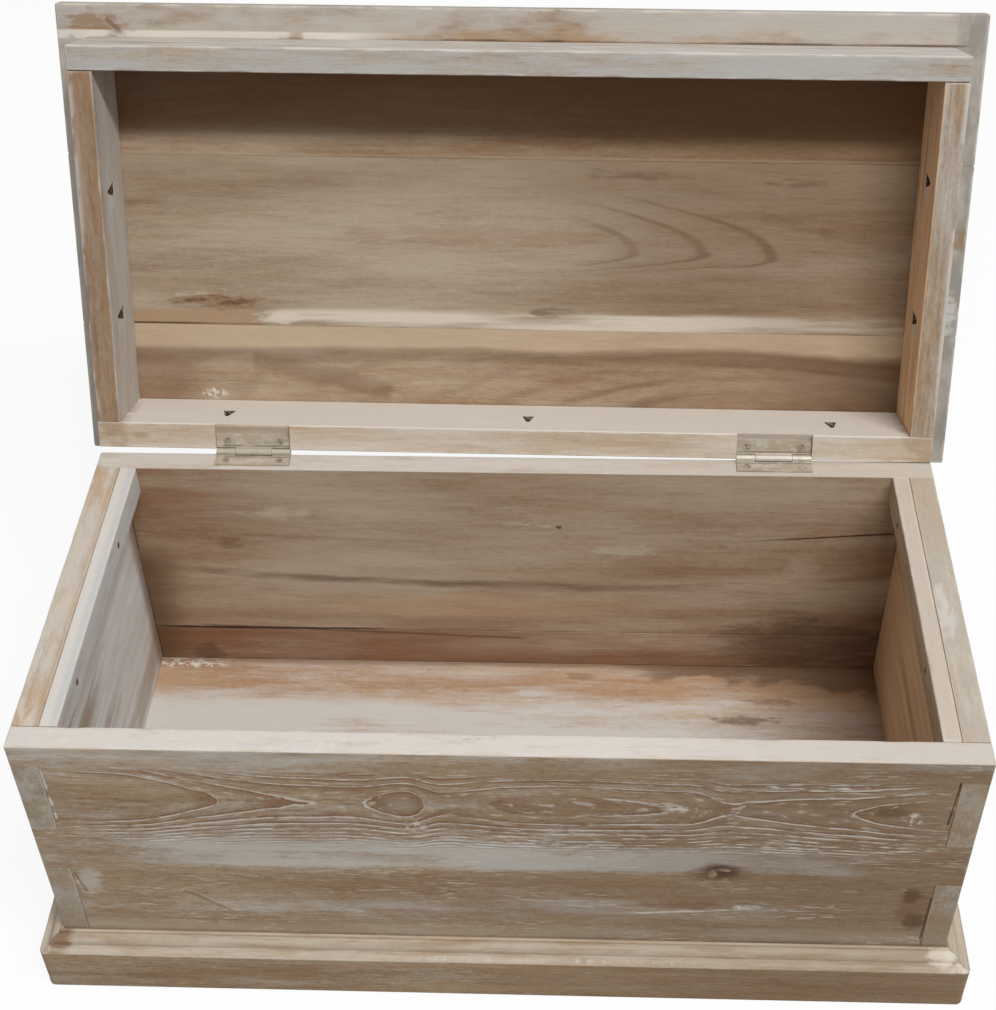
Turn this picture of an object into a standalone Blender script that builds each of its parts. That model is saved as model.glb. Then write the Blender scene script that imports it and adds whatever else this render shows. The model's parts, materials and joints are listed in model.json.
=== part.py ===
"""Old timber storage trunk: a finger-jointed box on a moulded plinth, with a framed lid on two butt hinges.

Metres, +Z up, +X to the right, -Y to the front. The world origin is the middle of the open trunk's footprint,
on the ground. Box pieces are placed from the box's front face (y = 0) and the ground (z = 0), under the empty
"trunk". Lid pieces are placed as they lie when the lid is shut, from the hinge axis, under the empty
"lid_hinge_axis", which then turns them open.
"""
import math

import bmesh
import bpy
import numpy as np
from mathutils import Matrix, Vector

for old in list(bpy.data.objects):
    bpy.data.objects.remove(old)

# Sizes shared by the whole trunk
FIT = 0.0003  # gap left between pieces that touch
ARRIS = 0.0006  # worn edge of every board
CLEAR = 0.001  # how far a cutter stands out of what it cuts
WELD = 1e-6  # points nearer than this are one point
FLAT_WITHIN = 1e-4  # radians: faces nearer than this to one plane are one face
WORN_OVER = math.radians(35)  # edges sharper than this are eased
SMOOTH_UP_TO = math.radians(40)  # round pieces are shaded smooth across edges up to this

# Box
BOX_LENGTH = 0.700
BOX_DEPTH = 0.327
RIM = 0.276  # top of the box above the ground
WALL = 0.020
FLOOR_TOP = 0.0435
FLOOR_THICK = 0.016
BACK_SEAM = 0.190  # below the rim, where the two back boards meet
FINGER_1 = 0.022  # below the rim: the corner fingers change from one board to the other at these depths
FINGER_2 = 0.095
FINGER_3 = 0.143

# Battens inside the ends, and their nails
BATTEN_THICK = 0.0135
BATTEN_TALL = 0.027
NAIL_DROP = 0.013  # below the rim
NAILS_FROM_FRONT = {"left": {"front": 0.075, "back": 0.225}, "right": {"front": 0.100, "back": 0.262}}
NAIL_HEAD = 0.0027  # radius
NAIL_SHANK = 0.0012  # radius
NAIL_LONG = 0.027

# Plinth
PLINTH_OUT = 0.019
PLINTH_TOP = 0.0555  # where the moulding meets the box
PLINTH_FACE = 0.045  # top of the upright face
PLINTH_EDGE = 0.0011  # worn edges of the upright face
SMALL_BEAD = 0.0017  # radius, against the box
BROAD_BEAD = 0.0070  # width
BROAD_FOOT = 0.0021  # the broad bead's lower edge above the upright face
BROAD_RISE = 0.0063  # the broad bead's height
QUIRK = 0.0011  # depth of the grooves beside the broad bead
FILLET = 0.0052  # flat beside the upright face

# Lid
LID_OPEN = math.radians(111.3)
LID_SKEW = math.radians(0.45)  # the lid hangs this much out of square on its hinges
LID_REST = 0.0008  # shut lid above the rim
RAIL_TALL = 0.070
RAIL_THICK = 0.0195
BACK_RAIL_THICK = 0.022
PLANK_THICK = 0.018
PLANK_ARRIS = 0.0010
LID_OVERHANG = 0.0255
LID_BACK_OVERHANG = 0.0235
PLANK_SEAM_1 = 0.0935  # from the front of the lid's frame
PLANK_SEAM_2 = 0.0895  # from the back of the lid's frame

# Screws driven up into the planks from chiselled pockets in the rails
POCKET_SHELF = 0.040  # ledge above the bottom of the rail
POCKET_TALL = 0.019
POCKET_WIDE = 0.012
POCKET_DEEP = 0.0125
POCKET_BACK = 0.0096  # width of the ledge deep in the rail
POCKET_POINT = 0.002  # width of the notch's point on the face
POCKET_SCREW_IN = 0.0055  # screw behind the rail's inner face
SCREW_INTO_PLANK = 0.011
SCREW_HEAD = 0.0032  # radius
SCREW_HEAD_TALL = 0.0026
SCREW_SHANK = 0.0016  # radius
SCREW_TIP = 0.003
SCREW_CROWN = 0.0022  # radius where the head's dome begins to fall
SCREW_RIM = 0.0013  # height where the dome meets the head's edge
FASTENER_SIDES = 10
SLOT_WIDE = 0.0008
SLOT_DEEP = 0.0008
LEFT_POCKETS = {"front": 0.117, "back": 0.107}  # from the front and the back of the lid's frame
RIGHT_POCKETS = {"front": 0.100, "back": 0.114}
BACK_POCKETS = {"left": 0.105, "middle": 0.012, "right": 0.081}  # left end, middle and right end
FRONT_POCKETS = {"left": 0.105, "middle": 0.012, "right": 0.088}

# Hinges
HINGE_FROM_END = 0.131  # from the end of the box to the middle of the hinge
HINGE_LONG = 0.0625
HINGE_LEAF = 0.015  # from the pin to the leaf's edge
HINGE_PLATE = 0.0015
BARREL = 0.0030  # radius
BORE = 0.0017  # radius
PIN = 0.00138  # radius
PLATE_LIFT = 0.0001  # plate inside the line of the barrel
MID_KNUCKLE = 0.0305
KNUCKLE_SIDES = 20
PIN_SIDES = 16
PIN_CHAMFER = 0.0003
LEAF_SUNK = 0.0005  # box leaf's barrel below the rim
AXIS_INSIDE = 0.0005  # pin inside the back of the box
HINGE_SCREW_AT = 0.0224  # each side of the hinge's middle
HINGE_SCREW_BACK = 0.0088  # from the pin
HINGE_SCREW_HEAD = 0.0030  # radius
HINGE_SCREW_SHANK = 0.0015  # radius
HINGE_SCREW_LONG = 0.0135
RECESS_RUN_OUT = 0.0030  # the lid's hinge recess grows this much shallower towards the inner face

# Places that follow from the sizes. The lid stops when the back of its frame meets the back edge of the rim.
# That happens at the right-hand end first, because the lid hangs askew.
HALF = BOX_LENGTH / 2
HINGE_AT = HALF - HINGE_FROM_END
BACK_INNER = BOX_DEPTH - WALL
WALL_FOOT = FLOOR_TOP + FIT
AXIS_RISE = BARREL - LEAF_SUNK
AXIS_Y = BOX_DEPTH - AXIS_INSIDE
AXIS_Z = RIM + AXIS_RISE
STOP = AXIS_RISE * math.sin(LID_OPEN) + AXIS_INSIDE * math.cos(LID_OPEN) - FIT
LID_BACK = STOP - HALF * math.tan(LID_SKEW)
LID_FRONT = LID_BACK - BOX_DEPTH
LID_FOOT = LID_REST - AXIS_RISE
PLANK_UNDER = LID_FOOT + RAIL_TALL + FIT
SKEW = Matrix.Rotation(LID_SKEW, 4, "Z")
STAND_XZ = Matrix.Rotation(math.pi / 2, 4, "X")  # turns an outline drawn in XY to stand in XZ
STAND_YZ = Matrix.Rotation(math.pi / 2, 4, "Z") @ STAND_XZ
HEAD_DOWN = Matrix.Rotation(math.pi, 4, "X")


def finish(name, colour, roughness, metallic=0.0):
    """A plain Principled finish."""
    material = bpy.data.materials.new(name)
    material.use_nodes = True
    shader = material.node_tree.nodes["Principled BSDF"]
    shader.inputs["Base Color"].default_value = (*colour, 1.0)
    shader.inputs["Roughness"].default_value = roughness
    shader.inputs["Metallic"].default_value = metallic
    return material


GREY_WASH = finish("grey washed timber", (0.36, 0.30, 0.23), 0.8)
PALE_WASH = finish("pale washed timber", (0.62, 0.55, 0.47), 0.75)
BROWN = finish("brown lid timber", (0.33, 0.23, 0.14), 0.7)
DARK_BROWN = finish("dark inside timber", (0.25, 0.15, 0.08), 0.7)
STEEL = finish("worn hinge steel", (0.45, 0.43, 0.40), 0.5, 0.9)
RUST = finish("rusty screw steel", (0.16, 0.11, 0.08), 0.7, 0.6)

parts = bpy.data.collections.new("storage_trunk")
cutters = bpy.data.collections.new("cutters")
for collection in (parts, cutters):
    bpy.context.scene.collection.children.link(collection)
cutters.hide_render = True

trunk = bpy.data.objects.new("trunk", None)
lid = bpy.data.objects.new("lid_hinge_axis", None)
for empty in (trunk, lid):
    parts.objects.link(empty)
lid.parent = trunk
lid.location = (0.0, AXIS_Y, AXIS_Z)
lid.rotation_euler = (-LID_OPEN, 0.0, 0.0)


def at(x, y, z):
    return Matrix.Translation((x, y, z))


def piece(name, mesh, material, parent, place):
    """A named solid under the box's or the lid's empty."""
    mesh.materials.append(material)
    obj = bpy.data.objects.new(name, mesh)
    parts.objects.link(obj)
    obj.parent = parent
    obj.matrix_local = place
    return obj


def helper(name, mesh, parent, place):
    """A shape that is only cut from a piece or joined to it."""
    obj = bpy.data.objects.new(name, mesh)
    cutters.objects.link(obj)
    obj.parent = parent
    obj.matrix_local = place
    obj.hide_render = True
    obj.display_type = "WIRE"
    return obj


def combine(obj, operation, other):
    boolean = obj.modifiers.new(operation.lower(), "BOOLEAN")
    boolean.operation = operation
    boolean.solver = "EXACT"
    boolean.object = other


def wear(obj, width=ARRIS):
    """Eases every sharp edge of a board."""
    bevel = obj.modifiers.new("worn edges", "BEVEL")
    bevel.width = width
    bevel.segments = 1
    bevel.limit_method = "ANGLE"
    bevel.angle_limit = WORN_OVER


def box_mesh(*boxes):
    """Cube primitives, each stretched between two corners."""
    work = bmesh.new()
    for low, high in boxes:
        low, high = Vector(low), Vector(high)
        stretch = Matrix.Translation((low + high) / 2) @ Matrix.Diagonal((*(high - low), 1.0))
        bmesh.ops.create_cube(work, size=1.0, matrix=stretch)
    mesh = bpy.data.meshes.new("box")
    work.to_mesh(mesh)
    work.free()
    return mesh


def evaluated_mesh(guide):
    """The finished mesh of a curve or of an object with modifiers, which is then removed."""
    parts.objects.link(guide)
    bpy.context.view_layer.update()
    mesh = bpy.data.meshes.new_from_object(guide.evaluated_get(bpy.context.evaluated_depsgraph_get()))
    bpy.data.objects.remove(guide)
    return mesh


def smooth(mesh):
    mesh.shade_smooth()
    mesh.set_sharp_from_angle(angle=SMOOTH_UP_TO)
    return mesh


def rod_mesh(radius, start, end, sides):
    """A cylinder primitive along X."""
    work = bmesh.new()
    round_bar = {"segments": sides, "radius1": radius, "radius2": radius, "depth": end - start}
    bmesh.ops.create_cone(work, cap_ends=True, **round_bar)
    bmesh.ops.rotate(work, cent=(0, 0, 0), matrix=Matrix.Rotation(math.pi / 2, 3, "Y"), verts=work.verts)
    bmesh.ops.translate(work, vec=((start + end) / 2, 0, 0), verts=work.verts)
    mesh = bpy.data.meshes.new("rod")
    work.to_mesh(mesh)
    work.free()
    return smooth(mesh)


def outline_mesh(points, thick):
    """A flat outline in XY, filled and given its thickness about z = 0."""
    curve = bpy.data.curves.new("outline", "CURVE")
    curve.dimensions = "2D"
    curve.fill_mode = "BOTH"
    curve.extrude = thick / 2
    spline = curve.splines.new("POLY")
    spline.points.add(len(points) - 1)
    spline.points.foreach_set("co", [c for x, y in points for c in (x, y, 0.0, 1.0)])
    spline.use_cyclic_u = True
    mesh = evaluated_mesh(bpy.data.objects.new("outline", curve))
    work = bmesh.new()
    work.from_mesh(mesh)
    bmesh.ops.remove_doubles(work, verts=work.verts, dist=WELD)
    bmesh.ops.dissolve_limit(work, angle_limit=FLAT_WITHIN, verts=work.verts, edges=work.edges)
    bmesh.ops.recalc_face_normals(work, faces=work.faces)
    work.to_mesh(mesh)
    work.free()
    return mesh


def turned_mesh(profile, steps):
    """A profile of (radius, height), drawn at +X from the axis's top down its outer side, turned about Z."""
    line = bpy.data.meshes.new("profile")
    line.from_pydata([(r, 0.0, h) for r, h in profile], [(i, i + 1) for i in range(len(profile) - 1)], [])
    guide = bpy.data.objects.new("profile", line)
    screw = guide.modifiers.new("turned", "SCREW")
    screw.axis = "Z"
    screw.steps = screw.render_steps = steps
    screw.use_merge_vertices = True
    screw.merge_threshold = WELD
    return smooth(evaluated_mesh(guide))


def countersunk(head, shank, long, grow=0.0, above=0.0):
    """Profile of a nail or screw with a sunk head, head up. Its hole is grown and stands above the head."""
    cone = head - shank
    top = [(0.0, above), (head + grow, above)]
    if above:
        top.append((head + grow, 0.0))
    return [*top, (shank + grow, -cone), (shank + grow, -long + SCREW_TIP), (0.0, -long - grow)]


def drill(obj, profile, place, steps):
    """Cuts a turned hole."""
    combine(obj, "DIFFERENCE", helper(f"hole_{obj.name}", turned_mesh(profile, steps), obj.parent, place))


# The box. The front and back boards keep the top finger at each corner, so their rims run the full length.
socket = HALF - WALL - FIT
seam = RIM - BACK_SEAM


def long_board(name, material, face, foot):
    """A full-length board from the rim down to its foot, its ends sawn out for the end boards' fingers."""
    board = piece(name, box_mesh(((-HALF, face, foot), (HALF, face + WALL, RIM))), material, trunk, Matrix())
    sawn = []
    for start, end in ((-HALF - CLEAR, -socket), (socket, HALF + CLEAR)):
        for low, high in ((RIM - FINGER_2, RIM - FINGER_1), (foot - CLEAR, RIM - FINGER_3)):
            sawn.append(((start, face - CLEAR, low), (end, face + WALL + CLEAR, high)))
    combine(board, "DIFFERENCE", helper(f"sockets_{name}", box_mesh(*sawn), trunk, Matrix()))
    wear(board)
    return board


front_board = long_board("front_board", GREY_WASH, 0, WALL_FOOT)
back_upper = long_board("back_board_upper", DARK_BROWN, BACK_INNER, seam + FIT / 2)
back_lower_mesh = box_mesh(((-socket, BACK_INNER, WALL_FOOT), (socket, BOX_DEPTH, seam - FIT / 2)))
wear(piece("back_board_lower", back_lower_mesh, DARK_BROWN, trunk, Matrix()))
floor_mesh = box_mesh(((-HALF, 0, FLOOR_TOP - FLOOR_THICK), (HALF, BOX_DEPTH, FLOOR_TOP)))
wear(piece("floor_board", floor_mesh, PALE_WASH, trunk, Matrix()))

# The end boards' fingers come through to the outer faces of the front and back.
inside = WALL + FIT
nail = countersunk(NAIL_HEAD, NAIL_SHANK, NAIL_LONG)
nail_hole = countersunk(NAIL_HEAD, NAIL_SHANK, NAIL_LONG, FIT, CLEAR)


def end_board_of(name, outer, inner):
    """An end board between two x faces, sawn out at each edge for the long boards' top and third fingers."""
    low, high = sorted((outer, inner))
    board = piece(name, box_mesh(((low, 0, WALL_FOOT), (high, BOX_DEPTH, RIM))), GREY_WASH, trunk, Matrix())
    sawn = []
    for start, end in ((-CLEAR, inside), (BOX_DEPTH - inside, BOX_DEPTH + CLEAR)):
        third = (RIM - FINGER_3 - FIT, RIM - FINGER_2 + FIT)
        for foot, top in ((RIM - FINGER_1 - FIT, RIM + CLEAR), third):
            sawn.append(((low - CLEAR, start, foot), (high + CLEAR, end, top)))
    combine(board, "DIFFERENCE", helper(f"sockets_{name}", box_mesh(*sawn), trunk, Matrix()))
    wear(board)
    return board


for side, sign in (("left", -1), ("right", 1)):
    end_board = end_board_of(f"{side}_end_board", sign * HALF, sign * (HALF - WALL))
    batten_back = sign * (HALF - WALL - FIT)
    batten_face = batten_back - sign * BATTEN_THICK
    low, high = sorted((batten_back, batten_face))
    batten_mesh = box_mesh(((low, inside, RIM - BATTEN_TALL), (high, BACK_INNER - FIT, RIM)))
    batten = piece(f"{side}_batten", batten_mesh, PALE_WASH, trunk, Matrix())
    wear(batten)
    outward = Matrix.Rotation(-sign * math.pi / 2, 4, "Y")
    for where, from_front in NAILS_FROM_FRONT[side].items():
        head = at(batten_face, from_front, RIM - NAIL_DROP) @ outward
        piece(f"{side}_batten_nail_{where}", turned_mesh(nail, FASTENER_SIDES), RUST, trunk, head)
        for nailed in (batten, end_board):
            drill(nailed, nail_hole, head, FASTENER_SIDES)


# The plinth: one moulding, planed in the solid and mitred round the four sides.
def moulding():
    """Section (out, up): small bead by the box, quirk, broad falling bead, quirk, fillet and upright face."""
    bead_at = FIT + SMALL_BEAD
    broad_start = bead_at + SMALL_BEAD + QUIRK
    broad_end = broad_start + BROAD_BEAD
    fillet_start = PLINTH_OUT - FILLET
    section = [(FIT, 0.0), (FIT, PLINTH_TOP)]
    for angle in np.radians([90, 55, 20, -15]):
        out, up = SMALL_BEAD * math.cos(angle), SMALL_BEAD * (math.sin(angle) - 1)
        section.append((bead_at + out, PLINTH_TOP + up))
    section.append((broad_start - QUIRK / 2, PLINTH_TOP - SMALL_BEAD - QUIRK))
    for angle in np.radians([75, 55, 35, 15, 0]):
        out, up = BROAD_BEAD * (math.cos(angle) - 1), BROAD_RISE * math.sin(angle)
        section.append((broad_end + out, PLINTH_FACE + BROAD_FOOT + up))
    section.append(((broad_end + fillet_start) / 2, PLINTH_FACE + BROAD_FOOT - QUIRK))
    section += [(fillet_start, PLINTH_FACE + PLINTH_EDGE / 2), (PLINTH_OUT - PLINTH_EDGE, PLINTH_FACE)]
    section += [(PLINTH_OUT, PLINTH_FACE - PLINTH_EDGE), (PLINTH_OUT, PLINTH_EDGE)]
    section.append((PLINTH_OUT - PLINTH_EDGE, 0.0))
    return section


def mitred_mesh(length):
    """The moulding carried along z, its ends cut back at 45 degrees to the wall that it covers."""
    mesh = outline_mesh(moulding(), length + 4 * PLINTH_OUT)
    work = bmesh.new()
    work.from_mesh(mesh)
    for end in (-1, 1):
        cut_at = end * (length / 2 - FIT / math.sqrt(2))
        every = [*work.verts, *work.edges, *work.faces]
        mitre = {"plane_co": (0, 0, cut_at), "plane_no": (-1, 0, end)}
        bmesh.ops.bisect_plane(work, geom=every, clear_outer=True, **mitre)
        bmesh.ops.holes_fill(work, edges=[edge for edge in work.edges if edge.is_boundary])
    bmesh.ops.recalc_face_normals(work, faces=work.faces)
    work.to_mesh(mesh)
    work.free()
    return mesh


along_wall = Matrix.Rotation(-math.pi / 2, 4, "Z") @ STAND_XZ
for side, quarter, length, away in (
    ("front", 0, BOX_LENGTH, BOX_DEPTH / 2),
    ("right", 1, BOX_DEPTH, HALF),
    ("back", 2, BOX_LENGTH, BOX_DEPTH / 2),
    ("left", 3, BOX_DEPTH, HALF),
):
    facing = at(0, BOX_DEPTH / 2, 0) @ Matrix.Rotation(quarter * math.pi / 2, 4, "Z")
    piece(f"plinth_{side}", mitred_mesh(length), PALE_WASH, trunk, facing @ at(0, -away, 0) @ along_wall)

# The lid's planks lie along the trunk and oversail the frame all round.
plank_end = HALF + LID_OVERHANG
front_edge = LID_FRONT - LID_OVERHANG
back_edge = LID_BACK + LID_BACK_OVERHANG
seams = (LID_FRONT + PLANK_SEAM_1, LID_BACK - PLANK_SEAM_2)
planks = {}
for where, low, high in (
    ("front", front_edge, seams[0] - FIT / 2),
    ("middle", seams[0] + FIT / 2, seams[1] - FIT / 2),
    ("back", seams[1] + FIT / 2, back_edge),
):
    plank_mesh = box_mesh(((-plank_end, low, PLANK_UNDER), (plank_end, high, PLANK_UNDER + PLANK_THICK)))
    planks[where] = piece(f"lid_plank_{where}", plank_mesh, BROWN, lid, SKEW)
    wear(planks[where], PLANK_ARRIS)

# The lid's frame: the front and back rails run the full length, and the side rails stand between them.
front_inner = LID_FRONT + RAIL_THICK
back_inner = LID_BACK - BACK_RAIL_THICK
side_inner = HALF - RAIL_THICK
rail_plans = {
    "front": ((-HALF, LID_FRONT), (HALF, front_inner)),
    "back": ((-HALF, back_inner), (HALF, LID_BACK)),
    "left": ((-HALF, front_inner + FIT), (-side_inner, back_inner - FIT)),
    "right": ((side_inner, front_inner + FIT), (HALF, back_inner - FIT)),
}
rails = {}
for side, (low, high) in rail_plans.items():
    rail_mesh = box_mesh(((*low, LID_FOOT), (*high, LID_FOOT + RAIL_TALL)))
    rails[side] = piece(f"lid_{side}_rail", rail_mesh, PALE_WASH, lid, SKEW)
    wear(rails[side])


# Each rail is held to the planks by screws driven up from pockets chiselled in its inner face.
def pocket_mesh():
    """A chisel's notch: a flat ledge at z = 0, and sides down to a point on the face, +Y into the rail."""
    work = bmesh.new()
    for wide, deep, high in (
        (POCKET_WIDE, -CLEAR, 0.0),
        (POCKET_BACK, POCKET_DEEP, 0.0),
        (POCKET_POINT, -CLEAR, -POCKET_TALL),
    ):
        work.verts.new((-wide / 2, deep, high))
        work.verts.new((wide / 2, deep, high))
    bmesh.ops.convex_hull(work, input=work.verts)
    bmesh.ops.recalc_face_normals(work, faces=work.faces)
    mesh = bpy.data.meshes.new("pocket")
    work.to_mesh(mesh)
    work.free()
    return mesh


pockets = []
ends = (("left", -side_inner, 1, LEFT_POCKETS), ("right", side_inner, -1, RIGHT_POCKETS))
lengths = (("front", front_inner, 2, FRONT_POCKETS), ("back", back_inner, 0, BACK_POCKETS))
for side, x, quarter, spots in ends:
    pockets.append((side, "front", x, LID_FRONT + spots["front"], quarter))
    pockets.append((side, "back", x, LID_BACK - spots["back"], quarter))
for side, y, quarter, spots in lengths:
    pockets.append((side, "left", -HALF + spots["left"], y, quarter))
    pockets.append((side, "middle", spots["middle"], y, quarter))
    pockets.append((side, "right", HALF - spots["right"], y, quarter))
reach = RAIL_TALL - POCKET_SHELF + SCREW_INTO_PLANK
rail_screw = [
    (0.0, SCREW_HEAD_TALL),
    (SCREW_CROWN, SCREW_HEAD_TALL - FIT),
    (SCREW_HEAD, SCREW_RIM),
    (SCREW_HEAD, 0.0),
    (SCREW_SHANK, 0.0),
    (SCREW_SHANK, -reach + SCREW_TIP),
    (0.0, -reach),
]
way = SCREW_SHANK + FIT
screw_way = [(0.0, CLEAR), (way, CLEAR), (way, -reach + SCREW_TIP), (0.0, -reach - 2 * FIT)]


def slot(screw, top, place):
    """A driver's slot across the head."""
    reach_out = 2 * SCREW_HEAD
    mesh = box_mesh(((-reach_out, -SLOT_WIDE / 2, top - SLOT_DEEP), (reach_out, SLOT_WIDE / 2, top + CLEAR)))
    combine(screw, "DIFFERENCE", helper(f"slot_{screw.name}", mesh, screw.parent, place))


# Each ledge is a place on a rail's inner face, turned so that +Y goes into the rail.
for side, where, x, y, quarter in pockets:
    ledge = SKEW @ at(x, y, LID_FOOT + POCKET_SHELF) @ Matrix.Rotation(quarter * math.pi / 2, 4, "Z")
    seat = ledge @ at(0, POCKET_SCREW_IN, -FIT) @ HEAD_DOWN
    screw = piece(f"{side}_rail_screw_{where}", turned_mesh(rail_screw, FASTENER_SIDES), RUST, lid, seat)
    slot(screw, SCREW_HEAD_TALL, seat)
    combine(rails[side], "DIFFERENCE", helper(f"pocket_{screw.name}", pocket_mesh(), lid, ledge))
    for pierced in (rails[side], planks.get(side, planks["middle"])):
        drill(pierced, screw_way, seat, FASTENER_SIDES)

# Butt hinges. The box leaf carries the two outer knuckles and the pin, and the lid leaf the middle one.
outer, inner = HINGE_LONG / 2, MID_KNUCKLE / 2
outer_knuckles = [(-outer, -inner - FIT), (inner + FIT, outer)]
middle_knuckle = [(-inner, inner)]


def hinge_leaf(name, parent, pin, own, other):
    """A plate just inside the barrel's bottom line, with its own knuckles and room for the other leaf's."""
    under = -BARREL + PLATE_LIFT
    plate = box_mesh(((-outer, -HINGE_LEAF, under), (outer, -PIN / 2, under + HINGE_PLATE)))
    leaf = piece(name, plate, STEEL, parent, pin)
    room = []
    for start, end in other:
        room.append(((start - FIT, -BARREL - FIT, -BARREL - CLEAR), (end + FIT, BARREL, BARREL)))
    combine(leaf, "DIFFERENCE", helper(f"room_{name}", box_mesh(*room), parent, pin))
    for start, end in own:
        knuckle = rod_mesh(BARREL, start, end, KNUCKLE_SIDES)
        combine(leaf, "UNION", helper(f"knuckle_{name}", knuckle, parent, pin))
    bore = rod_mesh(BORE, -outer - CLEAR, outer + CLEAR, PIN_SIDES)
    combine(leaf, "DIFFERENCE", helper(f"bore_{name}", bore, parent, pin))
    return leaf


hinge_screw = countersunk(HINGE_SCREW_HEAD, HINGE_SCREW_SHANK, HINGE_SCREW_LONG)
hinge_hole = countersunk(HINGE_SCREW_HEAD, HINGE_SCREW_SHANK, HINGE_SCREW_LONG, FIT, CLEAR)
sunk_floor = -BARREL - FIT
leaf_edge = -HINGE_LEAF - FIT
past = BARREL + CLEAR
box_recess = [(past, BARREL), (leaf_edge, BARREL), (leaf_edge, sunk_floor), (past, sunk_floor)]
# The lid's recess goes right across the rail, as deep as the leaf needs and then running shallower.
run_out = -2 * BACK_RAIL_THICK
shallow = -sunk_floor - RECESS_RUN_OUT
lid_recess = [(past, -BARREL), (past, -sunk_floor), (leaf_edge, -sunk_floor)]
lid_recess += [(-BACK_RAIL_THICK, shallow), (run_out, shallow), (run_out, -BARREL)]
pin_top = [(0.0, outer), (PIN - PIN_CHAMFER, outer), (PIN, outer - PIN_CHAMFER)]
pin_rod = pin_top + [(radius, -height) for radius, height in reversed(pin_top)]
for side, sign in (("left", -1), ("right", 1)):
    pin_on_box = at(sign * HINGE_AT, AXIS_Y, AXIS_Z)
    pin_on_lid = at(sign * HINGE_AT, 0, 0)
    lying = Matrix.Rotation(math.pi / 2, 4, "Y")
    piece(f"{side}_hinge_pin", turned_mesh(pin_rod, PIN_SIDES), STEEL, trunk, pin_on_box @ lying)
    # The lid's leaf is the same leaf turned over about the pin, so shut it folds over the box's leaf.
    turned_over = pin_on_lid @ Matrix.Rotation(math.pi, 4, "Y")
    box_leaf = hinge_leaf(f"{side}_hinge_box_leaf", trunk, pin_on_box, outer_knuckles, middle_knuckle)
    lid_leaf = hinge_leaf(f"{side}_hinge_lid_leaf", lid, turned_over, middle_knuckle, outer_knuckles)
    for owner, leaf, pin, axis, wood, recess in (
        ("box", box_leaf, pin_on_box, pin_on_box, back_upper, box_recess),
        ("lid", lid_leaf, turned_over, pin_on_lid, rails["back"], lid_recess),
    ):
        recess_mesh = outline_mesh(recess, HINGE_LONG + 2 * FIT)
        combine(wood, "DIFFERENCE", helper(f"recess_{leaf.name}", recess_mesh, leaf.parent, axis @ STAND_YZ))
        for where, along in (("left", -HINGE_SCREW_AT), ("right", HINGE_SCREW_AT)):
            shown_along = along if owner == "box" else -along
            head = pin @ at(shown_along, -HINGE_SCREW_BACK, -BARREL + PLATE_LIFT + HINGE_PLATE)
            screw_mesh = turned_mesh(hinge_screw, FASTENER_SIDES)
            screw = piece(f"{side}_hinge_{owner}_screw_{where}", screw_mesh, RUST, leaf.parent, head)
            slot(screw, 0.0, head @ Matrix.Rotation(sign * along / HINGE_SCREW_AT, 4, "Z"))
            for pierced in (leaf, wood):
                drill(pierced, hinge_hole, head, FASTENER_SIDES)

# The origin: the middle of the open trunk's footprint, on the ground.
bpy.context.view_layer.update()
graph = bpy.context.evaluated_depsgraph_get()
corners = []
for obj in parts.objects:
    if obj.type == "MESH":
        shape = obj.evaluated_get(graph)
        points = np.empty(len(shape.data.vertices) * 3, np.float32)
        shape.data.vertices.foreach_get("co", points)
        world = np.array(shape.matrix_world)
        placed = points.reshape(-1, 3) @ world[:3, :3].T + world[:3, 3]
        corners += [placed.min(axis=0), placed.max(axis=0)]
low, high = np.min(corners, axis=0), np.max(corners, axis=0)
trunk.location = (-(low[0] + high[0]) / 2, -(low[1] + high[1]) / 2, -low[2])
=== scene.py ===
"""Old timber storage trunk with its lid open: worn, whitewashed boards, butt hinges, screws and nails."""

import json
import math

import bpy
import numpy as np
from mathutils import Matrix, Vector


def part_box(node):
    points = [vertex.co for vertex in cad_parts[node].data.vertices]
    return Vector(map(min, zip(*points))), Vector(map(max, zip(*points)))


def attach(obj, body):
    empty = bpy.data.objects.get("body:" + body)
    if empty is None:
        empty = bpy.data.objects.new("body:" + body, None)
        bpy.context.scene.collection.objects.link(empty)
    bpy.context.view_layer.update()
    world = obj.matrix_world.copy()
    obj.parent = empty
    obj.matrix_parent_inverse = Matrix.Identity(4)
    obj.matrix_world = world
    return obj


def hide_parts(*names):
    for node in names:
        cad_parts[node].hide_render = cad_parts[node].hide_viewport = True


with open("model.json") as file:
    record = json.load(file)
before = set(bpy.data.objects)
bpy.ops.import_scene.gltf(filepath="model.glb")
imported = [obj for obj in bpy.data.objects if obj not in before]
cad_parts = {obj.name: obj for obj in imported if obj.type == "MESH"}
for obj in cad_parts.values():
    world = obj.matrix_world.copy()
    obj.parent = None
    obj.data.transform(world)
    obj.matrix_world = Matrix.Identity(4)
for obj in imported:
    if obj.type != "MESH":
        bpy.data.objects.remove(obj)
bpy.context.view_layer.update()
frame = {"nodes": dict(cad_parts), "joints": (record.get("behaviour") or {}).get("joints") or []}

# Front board. One wide plank, sawn tangentially so that its growth rings show as long tongues. It was
# brushed with a thin white wash and rubbed back, so that the wash stays in the open grain and in broad pale
# bands. Its ends are sawn into fingers that lock with the end boards, and every edge is worn round by use.
front_low, front_high = np.array(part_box("front_board"))
MIDDLE = (front_low[0] + front_high[0]) / 2
FRONT, RIM = front_low[1], front_high[2]
HALF = (front_high[0] - front_low[0]) / 2
WALL = front_high[1] - front_low[1]
TALL = front_high[2] - front_low[2]
FINGERS = (0.022, 0.095, 0.143)  # below the rim: where the corner changes from one board to the other
FIT = 0.0003  # gap between boards that touch
WORN, SAWN = 0.0011, 0.0004  # radius of a free edge, and of one that lies against another board
WIDEST_ARC = 0.13  # the largest worn radius, as a share of the board's thickness
RIPPLE = 0.00012  # how far the faces ripple
GRID = 0.006  # spacing of a board's points along its faces
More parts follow.
